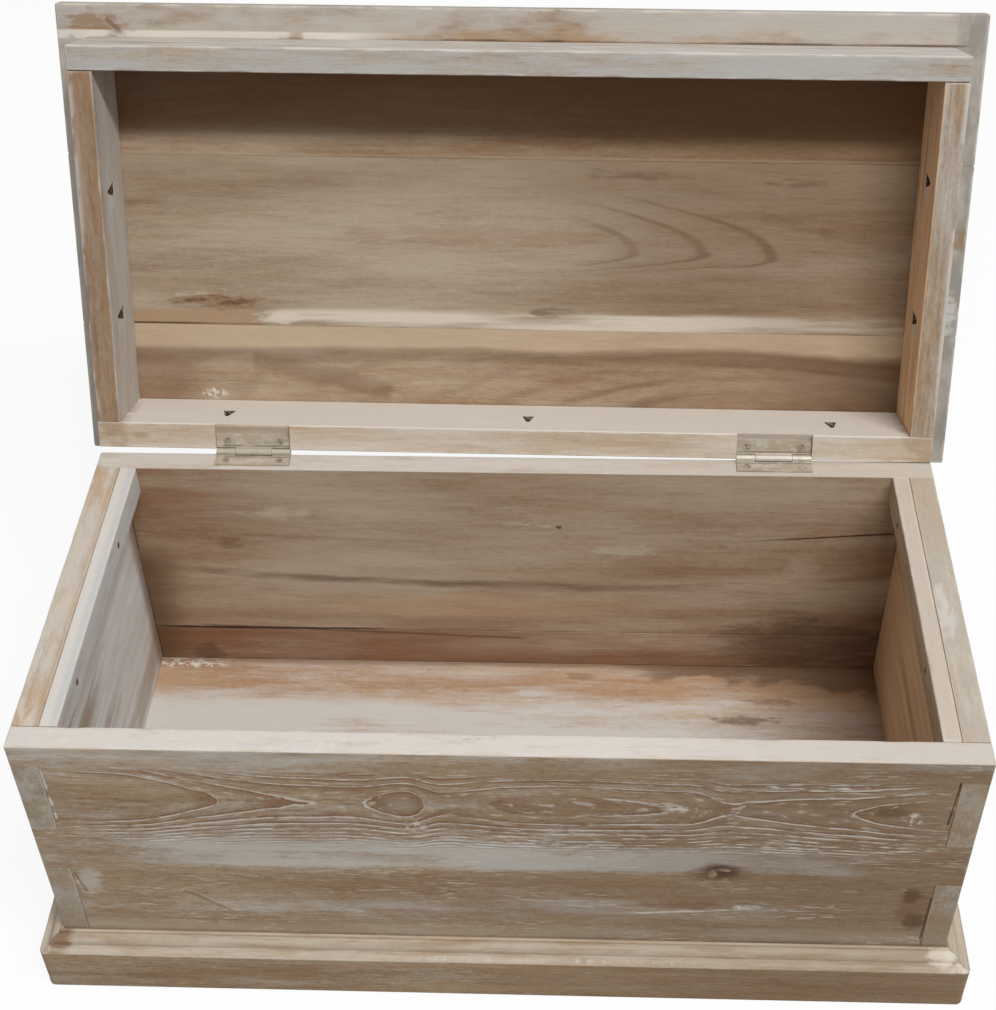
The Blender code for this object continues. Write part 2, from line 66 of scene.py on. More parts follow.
END_ZONE = 0.03  # at each end, where only the end's own points stand
SHARP = math.radians(38)  # edges that turn by more stay crisp


def wander(at, seed):
    """A line that wanders between about -1 and 1: four sines, 3 to 41 waves to the metre, seeded phases."""
    waves = np.array([3.0, 7.0, 17.0, 41.0])
    phases = np.random.default_rng(seed).uniform(0, 2 * np.pi, 4)
    heights = np.array([0.45, 0.3, 0.3, 0.2])
    return np.sin(2 * np.pi * at[..., None] * waves + phases) @ heights


def skin(rings, points):
    """The numbers of each ring's points, and the quads from each ring to the next, closed round the ring."""
    index = np.arange(rings * points).reshape(rings, points)
    ahead = np.roll(index, -1, axis=1)
    quads = np.stack([index[:-1], ahead[:-1], ahead[1:], index[1:]], axis=-1)
    return index, quads.reshape(-1, 4).tolist()


def worn_board(half, wide, thick, wear, ends, seed, reach=None, rows=(), pockets=(), dents=()):
    """A board in its own axes: along it from its middle, across it from its foot, and through it from a face.

    The section is a loop of four sides with each corner worn to an arc, and the loop is carried along the
    board. The arc's radius wanders along each edge, both faces ripple a little, and the section closes in on
    an arc at each end. reach(across) gives the half length where the ends are fingered. A pocket (along,
    across, width, height, depth) is a chisel's notch in the far face: a ledge, and a floor that rises from it
    to the face while its sides close in. A dent (along, across, reach along, reach across, depth) is a
    bell-shaped hollow in the far face, or a lump where its depth is negative.
    """
    arc = np.radians([45, 30, 15, 0])
    near, inward = 1 - np.sin(arc), 1 - np.cos(arc)
    columns = np.linspace(-half + END_ZONE, half - END_ZONE, round(2 * half / GRID))
    across = np.arange(GRID, wide - GRID / 2, GRID)
    for along_at, across_at, broad, tall, _ in pockets:
        columns = np.concatenate([columns, along_at + np.linspace(-0.6 * broad, 0.6 * broad, 17)])
        across = np.concatenate([across, across_at + np.linspace(-tall, 0, 20), [across_at + 0.0002]])
    for along_at, across_at, long, broad, _ in dents:
        columns = np.concatenate([columns, along_at + np.linspace(-2, 2, 25) * long])
        across = np.concatenate([across, across_at + np.linspace(-2, 2, 17) * broad])
    columns = np.unique(columns.round(5))
    across = np.unique(np.concatenate([across, rows]).round(5))
    through = np.linspace(0.15, 0.85, 4) * thick
    # Each side: its start corner, its direction, the direction into the board, and its points between arcs.
    sides = (
        ((0, 0), (1, 0), (0, 1), across),
        ((wide, 0), (0, 1), (-1, 0), through),
        ((wide, thick), (-1, 0), (0, -1), wide - across[::-1]),
        ((0, thick), (0, -1), (1, 0), thick - through[::-1]),
    )
    places, pulls, corners = [], [], []
    for number, (corner, ahead, inside, points) in enumerate(sides):
        corner, ahead, inside = np.array(corner, float), np.array(ahead, float), np.array(inside, float)
        far = corner + ahead * (wide if number % 2 == 0 else thick)
        places += [np.repeat(corner[None], 4, 0), corner + points[:, None] * ahead]
        places += [np.repeat(far[None], 3, 0)]
        pulls += [near[:, None] * ahead + inward[:, None] * inside, np.zeros((len(points), 2))]
        pulls += [(inward[:, None] * inside - near[:, None] * ahead)[:0:-1]]
        early = len(points) // 2
        corners += [np.full(4 + early, number), np.full(len(points) - early + 3, number + 1)]
    places, pulls = np.concatenate(places), np.concatenate(pulls)
    corners = np.concatenate(corners) % 4
    turn = np.radians([90, 65, 40, 20, 0])
    steps, closing = ends * (1 - np.sin(turn)), ends * (1 - np.cos(turn))
    reaches = np.full(len(places), half) if reach is None else reach(places[:, 0])
    last = (reaches - steps[:, None])[::-1]
    along = np.concatenate([steps[:, None] - reaches, np.repeat(columns[:, None], len(places), 1), last])
    shrink = np.concatenate([closing, np.zeros(len(columns)), closing[::-1]])[:, None]
    # Wear varies from three quarters to about twice its share. Then b is across the board and n through it.
    rubbed = 0.75 + 1.1 * np.abs(wander(along + 3.7 * corners, seed)) ** 1.5
    radius = np.minimum(np.array(wear)[corners] * rubbed, WIDEST_ARC * thick)
    b = places[:, 0] + radius * pulls[:, 0]
    n = places[:, 1] + radius * pulls[:, 1]
    ripple = RIPPLE * (1 + wander(along, seed + 1) * wander(b, seed + 2)) * (np.abs(pulls).sum(1) == 0)
    n = n + ripple * np.sign(thick / 2 - n) * np.isin(places[:, 1], (0, thick))
    for along_at, across_at, broad, tall, deep in pockets:
        down = np.clip((across_at - b) / tall, 0, 1)
        mouth = broad / 2 * (1 - 0.85 * down) - np.abs(along - along_at)
        depth = np.minimum(deep * (1 - down), 9 * mouth)
        n = n - np.clip(depth, 0, None) * (b <= across_at) * (places[:, 1] == thick)
    for along_at, across_at, long, broad, depth in dents:
        bell = np.exp(-(((along - along_at) / long) ** 2) - ((b - across_at) / broad) ** 2)
        n = n - depth * bell * (places[:, 1] == thick)
    b = wide / 2 + (b - wide / 2) * (1 - 2 * shrink / wide)
    n = thick / 2 + (n - thick / 2) * (1 - 2 * shrink / thick)
    # Each end is closed by a ladder of quads from face to face, and by a cheek at either side of it.
    index, faces = skin(*b.shape)
    long, short = len(across) + 7, len(through) + 7
    rung = np.arange(long)
    ladder = np.stack([rung, rung + 1, 2 * long + short - rung - 1, 2 * long + short - rung], axis=-1)
    cheeks = [np.arange(long, long + short + 1), np.arange(2 * long + short, 2 * long + 2 * short + 1)]
    for ring, flip in ((index[-1], 1), (index[0], -1)):
        loop = np.append(ring, ring[0])
        faces += loop[ladder][:, ::flip].tolist() + [loop[cheek][::flip].tolist() for cheek in cheeks]
    return np.stack([along, b, n], axis=-1).reshape(-1, 3), faces


def set_down(points, corner, along, across, through):
    """A board's points laid from a corner along three directions of the trunk."""
    return np.array(corner) + points @ np.array([along, across, through], float)


def add(name, points, faces, material, body, slot, *nodes):
    """A new piece from points and faces. It stands for those CAD nodes and rides with their body."""
    mesh = bpy.data.meshes.new(name)
    mesh.from_pydata(points.tolist(), [], faces)
    mesh.materials.append(material)
    mesh.shade_smooth()
    mesh.set_sharp_from_angle(angle=SHARP)
    obj = bpy.data.objects.new(name, mesh)
    bpy.context.scene.collection.objects.link(obj)
    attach(obj, body)
    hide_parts(*nodes)


def dress(node, material):
    """A CAD node whose shape is right takes its finished material."""
    mesh = frame["nodes"][node].data
    mesh.materials.clear()
    mesh.materials.append(material)


def paint(colour):
    """A colour in 0 to 255 values, as on a screen, as the linear numbers that a shader takes."""
    shown = np.array(colour) / 255
    linear = np.where(shown <= 0.04045, shown / 12.92, ((shown + 0.055) / 1.055) ** 2.4)
    return (*linear.tolist(), 1.0)


class Field:
    """One output of a material's nodes. It takes part in sums like a number."""

    def __init__(self, tree, socket):
        self.tree, self.socket = tree, socket

    def node(self, kind, settings, sockets, out=0):
        """Any node: its settings first, with a ramp's stops, then its sockets, linked or given a value."""
        made = self.tree.nodes.new("ShaderNode" + kind)
        for name, value in settings.items():
            if name == "stops":
                ramp = made.color_ramp
                ramp.interpolation = "CARDINAL"
                for place, level in value[1:-1]:
                    ramp.elements.new(place)
                for stop, (place, level) in zip(ramp.elements, value):
                    stop.position, stop.color = place, (level, level, level, 1.0)
            else:
                setattr(made, name, value)
        for place, value in sockets.items():
            if isinstance(value, Field):
                self.tree.links.new(value.socket, made.inputs[place])
            else:
                made.inputs[place].default_value = value
        return Field(self.tree, made.outputs[out])

    def sums(self, operation, *terms):
        return self.node("Math", {"operation": operation}, dict(enumerate(terms)))

    def __add__(self, other):
        return self.sums("ADD", self, other)

    def __sub__(self, other):
        return self.sums("SUBTRACT", self, other)

    def __rsub__(self, other):
        return self.sums("SUBTRACT", other, self)

    def __mul__(self, other):
        return self.sums("MULTIPLY", self, other)

    def __truediv__(self, other):
        return self.sums("DIVIDE", self, other)

    def __pow__(self, power):
        return self.sums("POWER", self, power)

    def __abs__(self):
        return self.sums("ABSOLUTE", self)

    __radd__ = __add__
    __rmul__ = __mul__

    def least(self, other):
        return self.sums("MINIMUM", self, other)

    def most(self, other):
        return self.sums("MAXIMUM", self, other)

    def fraction(self):
        return self.sums("FRACT", self)

    def rise(self, low, high):
        """0 below low and 1 above high, with a smooth step between them."""
        sockets = {"Value": self, "From Min": low, "From Max": high}
        return self.node("MapRange", {"interpolation_type": "SMOOTHSTEP"}, sockets)

    def fall(self, low, high):
        """1 below low and 0 above high, with a smooth step between them."""
        return 1 - self.rise(low, high)

    def near(self, middle, reach):
        """1 at the middle value, falling smoothly to 0 at that reach to either side."""
        return abs(self - middle).fall(0.0, reach)

    def between(self, low, high, soft):
        """1 from low to high, falling smoothly to 0 over the soft distance outside them."""
        return self.rise(low - soft, low) * self.fall(high, high + soft)

    def over(self, below, above):
        """This mask's mix of two colours: below where it is 0 and above where it is 1."""
        return self.node("Mix", {"data_type": "RGBA"}, {0: self, 6: below, 7: above}, out=2)

    def axis(self, index):
        return self.node("SeparateXYZ", {}, {0: self}, out=index)

    def noise(self, along, across, seed, detail=3.0, rough=0.55):
        """Noise from 0 to 1 with that many blotches to the metre along the grain (x) and across it."""
        stretched = {0: self, 1: (along, across, across), 2: (seed, 1.7 * seed, -seed)}
        place = self.node("VectorMath", {"operation": "MULTIPLY_ADD"}, stretched)
        sockets = {"Vector": place, "Scale": 1.0, "Detail": detail, "Roughness": rough}
        return self.node("TexNoise", {}, sockets)


class Timber:
    """A board's finish as it is built up: its colour, and its height in tenths of a millimetre."""

    def __init__(self, name, spot, turn, seed, brown, pale, grain=1.0, plane="xz", shade=1.0):
        """Bare wood from brown to pale: broad tone, streaks, thin lines, fibre and specks, with warm stains.

        Its axes start at that spot and turn with the board, x along the grain. Strokes and spots lie in the
        plane of two of them. The shade darkens the brown.
        """
        self.material = bpy.data.materials.new(name)
        self.material.use_nodes = True
        tree = self.material.node_tree
        coords = Field(tree, tree.nodes.new("ShaderNodeTexCoord").outputs["Object"])
        turned = {"Vector": coords, "Location": spot, "Rotation": turn}
        self.place = coords.node("Mapping", {"vector_type": "TEXTURE"}, turned)
        self.noise = noise = self.place.noise
        self.axes = [self.place.axis(index) for index in range(3)]
        self.plane = [self.axes["xyz".index(axis)] for axis in plane]
        self.seed = seed
        self.fibre = noise(45, 900, seed + 23, 2.0, 0.6)
        pores = self.patches(70, 1300, seed + 31, 0.58, 0.68, 1.0)
        broad = noise(2.2, 11, seed, 4.0, 0.6)
        streak = noise(5, 55, seed + 11, 5.0, 0.65)
        thin = noise(10, 230, seed + 17, 3.0, 0.65)
        speck = noise(400, 620, seed + 29, 1.0)
        mottle = noise(110, 260, seed + 41, 4.0, 0.7)
        fine = thin * 0.9 + self.fibre * 0.6 + speck * 0.6 + mottle * 1.1 - 1.6
        age = broad * 1.5 + streak * 1.5 - 1.0 + fine * grain
        bare = np.array(paint(brown)[:3]) * shade
        brown, warm, dark = ((*(bare * share).tolist(), 1.0) for share in (1.0, (1.02, 0.82, 0.62), 0.42))
        stained = self.patches(4, 34, seed + 37, 0.50, 0.72, 4.0, 0.65)
        self.colour = (stained * 0.40).over(age.over(brown, paint(pale)), warm)
        self.colour = (pores * 0.35 * grain).over(self.colour, dark)
        self.height = self.fibre * 0.8 - pores * 0.8 + thin * 0.6

    def patches(self, along, across, seed, low, high, detail=3.0, rough=0.55):
        """Patches of noise: 0 where the noise is below low, and 1 where it is above high."""
        return self.noise(along, across, seed, detail, rough).rise(low, high)

    def lay(self, mask, colour):
        """A colour over what is there, where the mask says."""
        self.colour = mask.over(self.colour, paint(colour))

    def wash(self, colour, coat, along=4.5, across=13, level=0.85, soft=0.45):
        """Whitewash in patches with brushed edges. A coat of 0 leaves few traces, and 1 covers nearly all."""
        patch = self.noise(along, across, self.seed + 47, 6.0, 0.66)
        brush = self.noise(16, 300, self.seed + 53, 3.0, 0.65)
        grit = self.noise(170, 420, self.seed + 59, 3.0, 0.7)
        ragged = (brush * 1.3 + grit * 1.1 - 1.2) * (0.45 / soft)
        cover = (patch * 3.0 - 2.0 + ragged + coat * 1.6).rise(0.3 - soft, 0.3 + soft)
        self.lay(cover * level, colour)
        self.height = self.height * (1 - cover * 0.4)

    def lines(self, across, seed, colour, level):
        """Short limed pores: pale dashes along the grain, where the level says."""
        dashes = self.patches(70, across, seed, 0.58, 0.66, 1.5, 0.5)
        groups = self.patches(9, 50, seed + 0.5, 0.46, 0.62, 4.0, 0.6)
        self.lay(dashes * groups * level, colour)

    def worn(self, low, high, colour, width=0.003, level=0.8):
        """Rubbed edges. The nearest one lies at the middle one of the distances to the pairs of faces."""
        gaps = [(b - a) / 2 - abs(axis - (a + b) / 2) for axis, a, b in zip(self.axes, low, high)]
        first, second, third = gaps
        distance = first.least(second).most(first.most(second).least(third))
        rub = self.patches(38, 38, self.seed + 83, 0.42, 0.62)
        self.lay(distance.fall(0.0002, width) * rub * level, colour)

    def strokes(self, where, *rows):
        """Straight marks with feathered sides. A row is a start, an end, a width, a colour and a level."""
        u, v = self.plane
        for start, end, width, colour, level in rows:
            long = np.subtract(end, start)
            length = float(np.hypot(*long))
            right, up = (long / length).tolist()
            ahead = ((u - start[0]) * right + (v - start[1]) * up) / length
            aside = abs((v - start[1]) * right - (u - start[0]) * up)
            shake = self.noise(60, 60, self.seed + 91, 2.0) * width
            mask = (aside + shake - width / 2).fall(width * 0.3, width) * ahead.between(0.0, 1.0, 0.06)
            self.lay(mask * (where * level), colour)

    def spots(self, where, *rows):
        """Ragged ovals. A row is a middle, a reach both ways, a colour, a level and how ragged it is."""
        u, v = self.plane
        for middle, reach, colour, level, ragged in rows:
            far = ((u - middle[0]) / reach[0]) ** 2 + ((v - middle[1]) / reach[1]) ** 2
            edge = self.noise(45, 150, self.seed + 97, 6.0, 0.7) - 0.5
            mask = (far + edge * 4 * ragged).fall(0.10, 1.1)
            self.lay(mask * (where * level), colour)

    def finish(self, rough=0.8, bump=0.6):
        """Colour, roughness from the fibre, and the grain's relief."""
        tree = self.material.node_tree
        shader = tree.nodes["Principled BSDF"]
        shader.inputs["Specular IOR Level"].default_value = 0.35
        tree.links.new(self.colour.socket, shader.inputs["Base Color"])
        tree.links.new((rough + 0.06 - self.fibre * 0.14).socket, shader.inputs["Roughness"])
        relief = {"Strength": bump, "Distance": 0.0002, "Height": self.height}
        tree.links.new(self.place.node("Bump", {}, relief).socket, shader.inputs["Normal"])
        return self.material


WHITE_WASH, GREY_WASH, CREAM_WASH = (226, 221, 212), (214, 211, 203), (218, 211, 203)
TEAK, PALE_TEAK, DARK_TEAK = (146, 117, 86), (190, 168, 140), (112, 82, 55)
SHADED_TEAK = (112, 84, 58)
RUBBED = (206, 190, 168)
GAP = (46, 32, 20)
SQUARE = (0.0, 0.0, 0.0)
RIM_SKIN = (-0.0014, -0.0004)  # below the rim, where a side turns into the top

front = Timber("washed front board", (MIDDLE, FRONT, RIM), SQUARE, 3.1, TEAK, PALE_TEAK)
x, y, z = front.axes
face = y.fall(0.004, 0.006)
# The rings: a valley across the face, over a line that rises and falls along the board. Each whole number
# is one ring.
RING_UP, RING_DOWN = 0.0195, 0.0175  # from the valley to the first ring
VALLEY = 0.0565  # below the rim
OVAL = (-0.074, -0.058)
RING_LINE = (
    (-0.350, -1.9), (-0.300, -1.5), (-0.260, -0.9), (-0.230, 0.27), (-0.205, 1.0), (-0.180, 1.58),
    (-0.155, 1.90), (-0.1315, 2.0), (-0.115, 2.10), (-0.098, 2.0), (-0.088, 1.80), (-0.074, 1.45),
    (-0.062, 1.45), (-0.053, 2.0), (-0.040, 2.5), (0.000, 1.9), (0.040, 1.6), (0.080, 1.7), (0.125, 1.93),
    (0.141, 2.0), (0.155, 2.5), (0.1675, 2.84), (0.180, 2.75), (0.205, 2.5), (0.235, 2.2), (0.259, 2.0),
    (0.275, 1.7), (0.310, 1.2), (0.350, 0.8),
)
LINE_HALF, LINE_FOOT, LINE_TALL = 0.35, 2, 6  # the ramp's 0 to 1, in metres and in rings
stops = [((at + LINE_HALF) / (2 * LINE_HALF), (level + LINE_FOOT) / LINE_TALL) for at, level in RING_LINE]
crest = front.place.node("ValToRGB", {"stops": stops}, {"Fac": (x + LINE_HALF) / (2 * LINE_HALF)})
crest = crest * LINE_TALL - LINE_FOOT
dip = z + VALLEY + x.near(OVAL[0], 0.05) * 0.001 + x.rise(0.17, 0.27) * 0.003
above, below = dip.most(0.0), dip.least(0.0)
shiver = front.noise(8, 40, 5.5, 7.0, 0.70) - 0.5
rings = (above / RING_UP) ** 2 + (below / RING_DOWN) ** 2 + crest + shiver * 0.45
steep = above * (2 / RING_UP**2) - below * (2 / RING_DOWN**2)
slope = (steep**2 + 22.0**2) ** 0.5
beside = ((rings + 0.5).fraction() - 0.5) / slope
late = rings.fraction()
figured = z.between(-0.104, -0.028, 0.008) * x.fall(0.290, 0.320) * face
figured = figured * x.rise(-0.320, -0.285) * rings.rise(0.4, 0.8)
blank = x.between(-0.035, 0.070, 0.015) * abs(dip).fall(0.012, 0.017)
pale_band = z.between(-0.130, -0.106, 0.010) * x.between(-0.22, 0.22, 0.09)
coat = 0.30 + pale_band * 0.50 + z.rise(-0.022, -0.004) * 0.16 - z.between(-0.05, -0.03, 0.012) * 0.14
coat = coat - z.between(-0.165, -0.140, 0.012) * 0.20 - x.rise(0.05, 0.30) * 0.16
oval = x.near(OVAL[0], 0.030) * z.near(OVAL[1], 0.014)
front.wash(GREY_WASH, coat - oval * 0.6, 8, 30, 0.80, 0.6)
front.lay((0.12 + x.rise(-0.05, 0.28) * 0.40) * face, (106, 82, 58))
by_plinth = z.fall(-0.214, -0.196) * front.patches(9, 60, 8.1, 0.30, 0.55, 4.0)
front.lay(by_plinth * face * 0.45, (178, 166, 148))
front.lay(z.fall(-0.213, -0.206) * x.fall(-0.15, 0.10) * face * 0.35, (184, 164, 138))
front.lay(z.between(-0.200, -0.150, 0.020) * x.near(0.0, 0.22) * face * 0.28, SHADED_TEAK)
front.lay(oval * face * 0.70, (164, 152, 137))
# Each ring is pale after its line and browner up to the next one, with limed pores and broken limed lines.
along_rings = front.place.node("CombineXYZ", {}, {0: x, 1: rings * 0.0040, 2: z * 0.12})
pores = along_rings.noise(60, 1000, 2.2, 2.0, 0.6)
patchy = front.patches(11, 40, 6.3, 0.30, 0.60, 5.0, 0.65)
front.lay(late.rise(0.30, 0.96) * figured * patchy * 0.62, (122, 89, 60))
front.lay(late.rise(0.62, 0.97) * figured * x.between(-0.24, -0.05, 0.02) * 0.40, (150, 104, 68))
front.lay(pores.rise(0.58, 0.68) * figured * 0.40, WHITE_WASH)
front.lay(pores.fall(0.32, 0.42) * figured * 0.40, DARK_TEAK)
broken = front.noise(45, 150, 7.7, 4.0, 0.65) - rings.rise(3.2, 6.0) * 0.10
broken = broken.rise(0.36, 0.48) * figured * (1 - blank)
ring_cut = (abs(beside) / (0.7 + shiver * 3)).fall(0.0003, 0.0013) * broken
front.lay(beside.near(-0.0018, 0.0016) * broken * 0.45, DARK_TEAK)
front.lay(ring_cut * 0.72, WHITE_WASH)
front.height = front.height - ring_cut * 2.0
front.lines(950, 4.4, WHITE_WASH, (1 - figured) * face * 0.50)
limed = z.between(-0.033, -0.022, 0.006) + z.between(-0.104, -0.086, 0.006)
front.lines(1100, 4.9, WHITE_WASH, limed * face * 0.75)
# Crumbs of wash under the oval and by the eye on the right, and the knot with its curl.
crumbs = front.patches(170, 130, 9.6, 0.48, 0.60, 4.0, 0.65)
front.spots(
    face,
    ((-0.064, -0.082), (0.012, 0.010), WHITE_WASH, crumbs * 0.65, 0.6),
    ((0.303, -0.063), (0.007, 0.009), WHITE_WASH, crumbs * 0.65, 0.6),
    ((0.286, -0.056), (0.015, 0.007), (94, 68, 45), 0.55, 0.8),
    ((0.168, -0.133), (0.030, 0.014), (116, 87, 59), 0.65, 0.7),
    ((0.1665, -0.1315), (0.0170, 0.0110), (76, 54, 35), 0.9, 0.2),
    ((0.1612, -0.1345), (0.0042, 0.0058), (176, 155, 128), crumbs.most(0.55) * 0.9, 0.5),
    ((0.1695, -0.1300), (0.0066, 0.0026), (170, 148, 121), crumbs.most(0.45) * 0.9, 0.5),
)
# The knot's tail, the slit on the left and the line of wash over the chip.
front.strokes(
    face,
    ((0.1705, -0.1400), (0.1790, -0.1565), 0.0036, (160, 140, 114), 0.6),
    ((-0.2450, -0.1690), (-0.2130, -0.1925), 0.0020, (104, 82, 60), 0.40),
    ((-0.2490, -0.1690), (-0.2445, -0.1655), 0.0013, (196, 180, 160), 0.8),
    ((-0.2445, -0.1655), (-0.2095, -0.1905), 0.0012, (190, 175, 155), 0.7),
    ((0.108, -0.186), (0.184, -0.179), 0.0016, WHITE_WASH, 0.65),
)
# The chip, the stains by the right-hand joint, and wash by the left-hand one.
front.spots(
    face,
    ((0.150, -0.176), (0.050, 0.006), (120, 82, 54), 0.6, 1.0),
    ((0.190, -0.176), (0.013, 0.0036), WHITE_WASH, crumbs.most(0.35) * 0.75, 1.0),
    ((0.318, -0.175), (0.015, 0.036), (114, 85, 58), 0.55, 0.8),
    ((0.314, -0.157), (0.008, 0.011), (92, 64, 40), 0.75, 0.7),
    ((0.319, -0.191), (0.010, 0.013), (96, 66, 42), 0.75, 0.7),
    ((-0.318, -0.158), (0.014, 0.018), GREY_WASH, 0.5, 1.2),
)
# The corner joints' cracks, open on the right and filled with wash on the left.
chalk = front.patches(90, 90, 2.5, 0.4, 0.55)
front.strokes(
    face,
    ((0.3291, -0.022), (0.3272, -0.068), 0.0010, GAP, 0.9),
    ((0.3292, -0.160), (0.3284, -0.212), 0.0011, GAP, 0.8),
    ((-0.3290, -0.026), (-0.3280, -0.080), 0.0016, WHITE_WASH, chalk * 0.8),
    ((-0.3275, -0.148), (-0.3225, -0.172), 0.0014, DARK_TEAK, 0.6),
)
rim = z.rise(*RIM_SKIN)
front.lay(rim * (0.98 - front.patches(22, 120, 6.1, 0.50, 0.75, 6.0, 0.7) * 0.50), CREAM_WASH)
# Painted shade: the rim darker towards the right.
front.lay(rim * x.rise(0.05, 0.30) * 0.75, (202, 192, 182))
front.lay(rim * front.patches(260, 260, 8.6, 0.60, 0.68, 2.0) * x.fall(-0.2, 0.2) * 0.6, WHITE_WASH)
front.worn((-HALF, 0, -TALL), (HALF, WALL, 0), RUBBED, 0.0025, rim * 0.5 + 0.25)


def fingered(across):
    """Half the front board's length at each height: full at its fingers, short of the end boards' fingers."""
    below = TALL - across
    socket = ((below > FINGERS[0]) & (below < FINGERS[1])) | (below > FINGERS[2])
    return np.where(socket, HALF - WALL - FIT, HALF)


finger_rows = np.array([TALL - depth + side for depth in FINGERS for side in (-0.0001, 0.0001)])
hollows = (
    (0.1665, TALL - 0.1315, 0.0090, 0.0060, 0.0018),  # the knot and the two lumps of its curl
    (0.1615, TALL - 0.1335, 0.0030, 0.0034, -0.0017),
    (0.1695, TALL - 0.1307, 0.0042, 0.0018, -0.0016),
    (-0.236, TALL - 0.174, 0.0080, 0.0040, 0.0006),  # the slit
    (0.190, TALL - 0.176, 0.0080, 0.0030, 0.0010),  # the chip
)
points, faces = worn_board(HALF, TALL, WALL, (WORN,) * 4, SAWN, 11, fingered, finger_rows, dents=hollows)
points = set_down(points, (MIDDLE, front_high[1], front_low[2]), (1, 0, 0), (0, 0, 1), (0, -1, 0))
add("washed_front_board", points, faces, front.finish(), "box", "washed_timber", "front_board")

# Back. Two boards of the same timber, edge to edge, with the seam low down inside. The inside had only a
# thin wash, so brown wood shows through it, redder and darker towards the floor, which is partly painted
# shade. Painted shade also darkens it low in the left-hand corner and low on the right. The hinge leaves
# are let into the upper board's rim.
BACK_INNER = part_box("back_board_upper")[0][1]
for node, seed, brown, pale in (
    ("back_board_upper", 21.3, (142, 108, 78), (184, 158, 130)),
    # The lower board's darker, redder wood is partly painted shade.
    ("back_board_lower", 26.9, (126, 86, 58), (166, 126, 94)),
):
    back = Timber(node.replace("_", " "), (MIDDLE, BACK_INNER, RIM), SQUARE, seed, brown, pale, 0.6)
    x, y, z = back.axes
    inner = y.fall(0.0004, 0.0014)
    left = x.fall(-0.30, -0.18)
    coat = 0.46 - x.rise(0.02, 0.33) * 0.12 - left * 0.25 + x.near(-0.08, 0.16) * 0.12
    back.wash((206, 192, 172), coat * inner + (1 - inner) * 0.4, 3.5, 22, 0.75, 0.8)
    red = back.noise(4, 26, 3.3, 4.0, 0.6)
    back.lay(left * red.rise(0.40, 0.60) * z.rise(-0.09, -0.02) * inner * 0.55, (146, 98, 66))
    # Redder towards the floor: brown wood, partly painted shade.
    back.lay(z.between(-0.24, -0.176, 0.02) * red.rise(0.30, 0.65) * inner * 0.6, (136, 88, 58))
    # Painted shade low in the left-hand corner.
    back.lay(x.fall(-0.325, -0.285) * z.fall(-0.12, -0.07) * inner * 0.75, (100, 71, 46))
    # Painted shade low on the right, where the right-hand end's shadow falls, broken into clouds.
    shade_cloud = back.patches(9, 16, 7.7, 0.34, 0.66, 4.0, 0.6)
    back.lay(x.rise(0.14, 0.30) * z.fall(-0.20, -0.12) * inner * (0.22 + shade_cloud * 0.62), (92, 68, 45))
    back.lay(z.between(-0.168, -0.150, 0.010) * x.near(-0.05, 0.22) * inner * 0.45, (204, 170, 132))
    # A tide mark, lowest in the middle.
    drift = (back.noise(5, 5, 1.1, 3.0) - 0.5) * 0.02
    tide = z + 0.1338 - (x - 0.005) ** 2 * 0.206 + drift
    mark = abs(tide).fall(0.001, 0.006) * back.patches(8, 60, 2.7, 0.34, 0.62, 4.0)
    back.lay(mark * (1 - x.rise(0.02, 0.14) * 0.45) * inner * 0.60, (86, 62, 42))
    # Cracks, and a smear of chalk that ends in a nail hole.
    crack = x.rise(-0.34, -0.30) * x.fall(-0.16, -0.10)
    smear = back.patches(120, 300, 4.3, 0.40, 0.56, 3.0, 0.65) * x.rise(-0.03, 0.03)
    back.strokes(
        inner,
        ((0.190, -0.076), (0.322, -0.064), 0.0014, GAP, x.rise(0.19, 0.26) * 0.9),
        ((-0.335, -0.1905), (-0.100, -0.1895), 0.0020, GAP, crack * 0.95),
        ((-0.28, -0.1875), (0.0, -0.1985), 0.0018, (84, 56, 36), 0.55),
        ((-0.0143, -0.0563), (0.0385, -0.0610), 0.0036, (208, 200, 186), smear * 0.55),
    )
    back.spots(
        inner,
        ((-0.285, -0.225), (0.016, 0.016), (92, 64, 42), 0.6, 0.9),
        ((0.0395, -0.0612), (0.0030, 0.0024), (66, 46, 30), 0.85, 0.3),
        # Painted shade in the lower right corner.
        ((0.262, -0.200), (0.090, 0.036), (86, 60, 38), 0.50, 0.9),
        ((0.095, -0.088), (0.030, 0.008), (204, 192, 174), 0.6, 1.3),
        ((-0.20, -0.050), (0.032, 0.008), (210, 196, 176), 0.55, 1.3),
        ((-0.247, -0.085), (0.012, 0.012), (120, 80, 54), 0.45, 0.9),
        ((0.255, -0.105), (0.018, 0.014), (196, 182, 162), 0.35, 1.3),
    )
    rim = z.rise(*RIM_SKIN)
    back.lay(rim * (0.97 - back.patches(12, 80, 1.9, 0.48, 0.70, 5.0, 0.65) * 0.50), (208, 199, 188))
    # Painted shade: the rim darker towards the right.
    back.lay(rim * x.rise(0.0, 0.25) * 0.55, (192, 180, 165))
    dress(node, back.finish())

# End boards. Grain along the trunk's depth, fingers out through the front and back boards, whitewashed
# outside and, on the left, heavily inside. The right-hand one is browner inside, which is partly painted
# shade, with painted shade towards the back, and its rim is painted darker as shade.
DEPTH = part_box("back_board_upper")[1][1] - FRONT
CENTRE = FRONT + DEPTH / 2
ACROSS = (0.0, 0.0, math.radians(90))  # turned, x is the trunk's depth and -y its length


def end_reach(across):
    """Half an end board's length at each height: full where the front and back boards are sawn out for it."""
    return np.where(fingered(across) < HALF, DEPTH / 2, DEPTH / 2 - WALL - FIT)


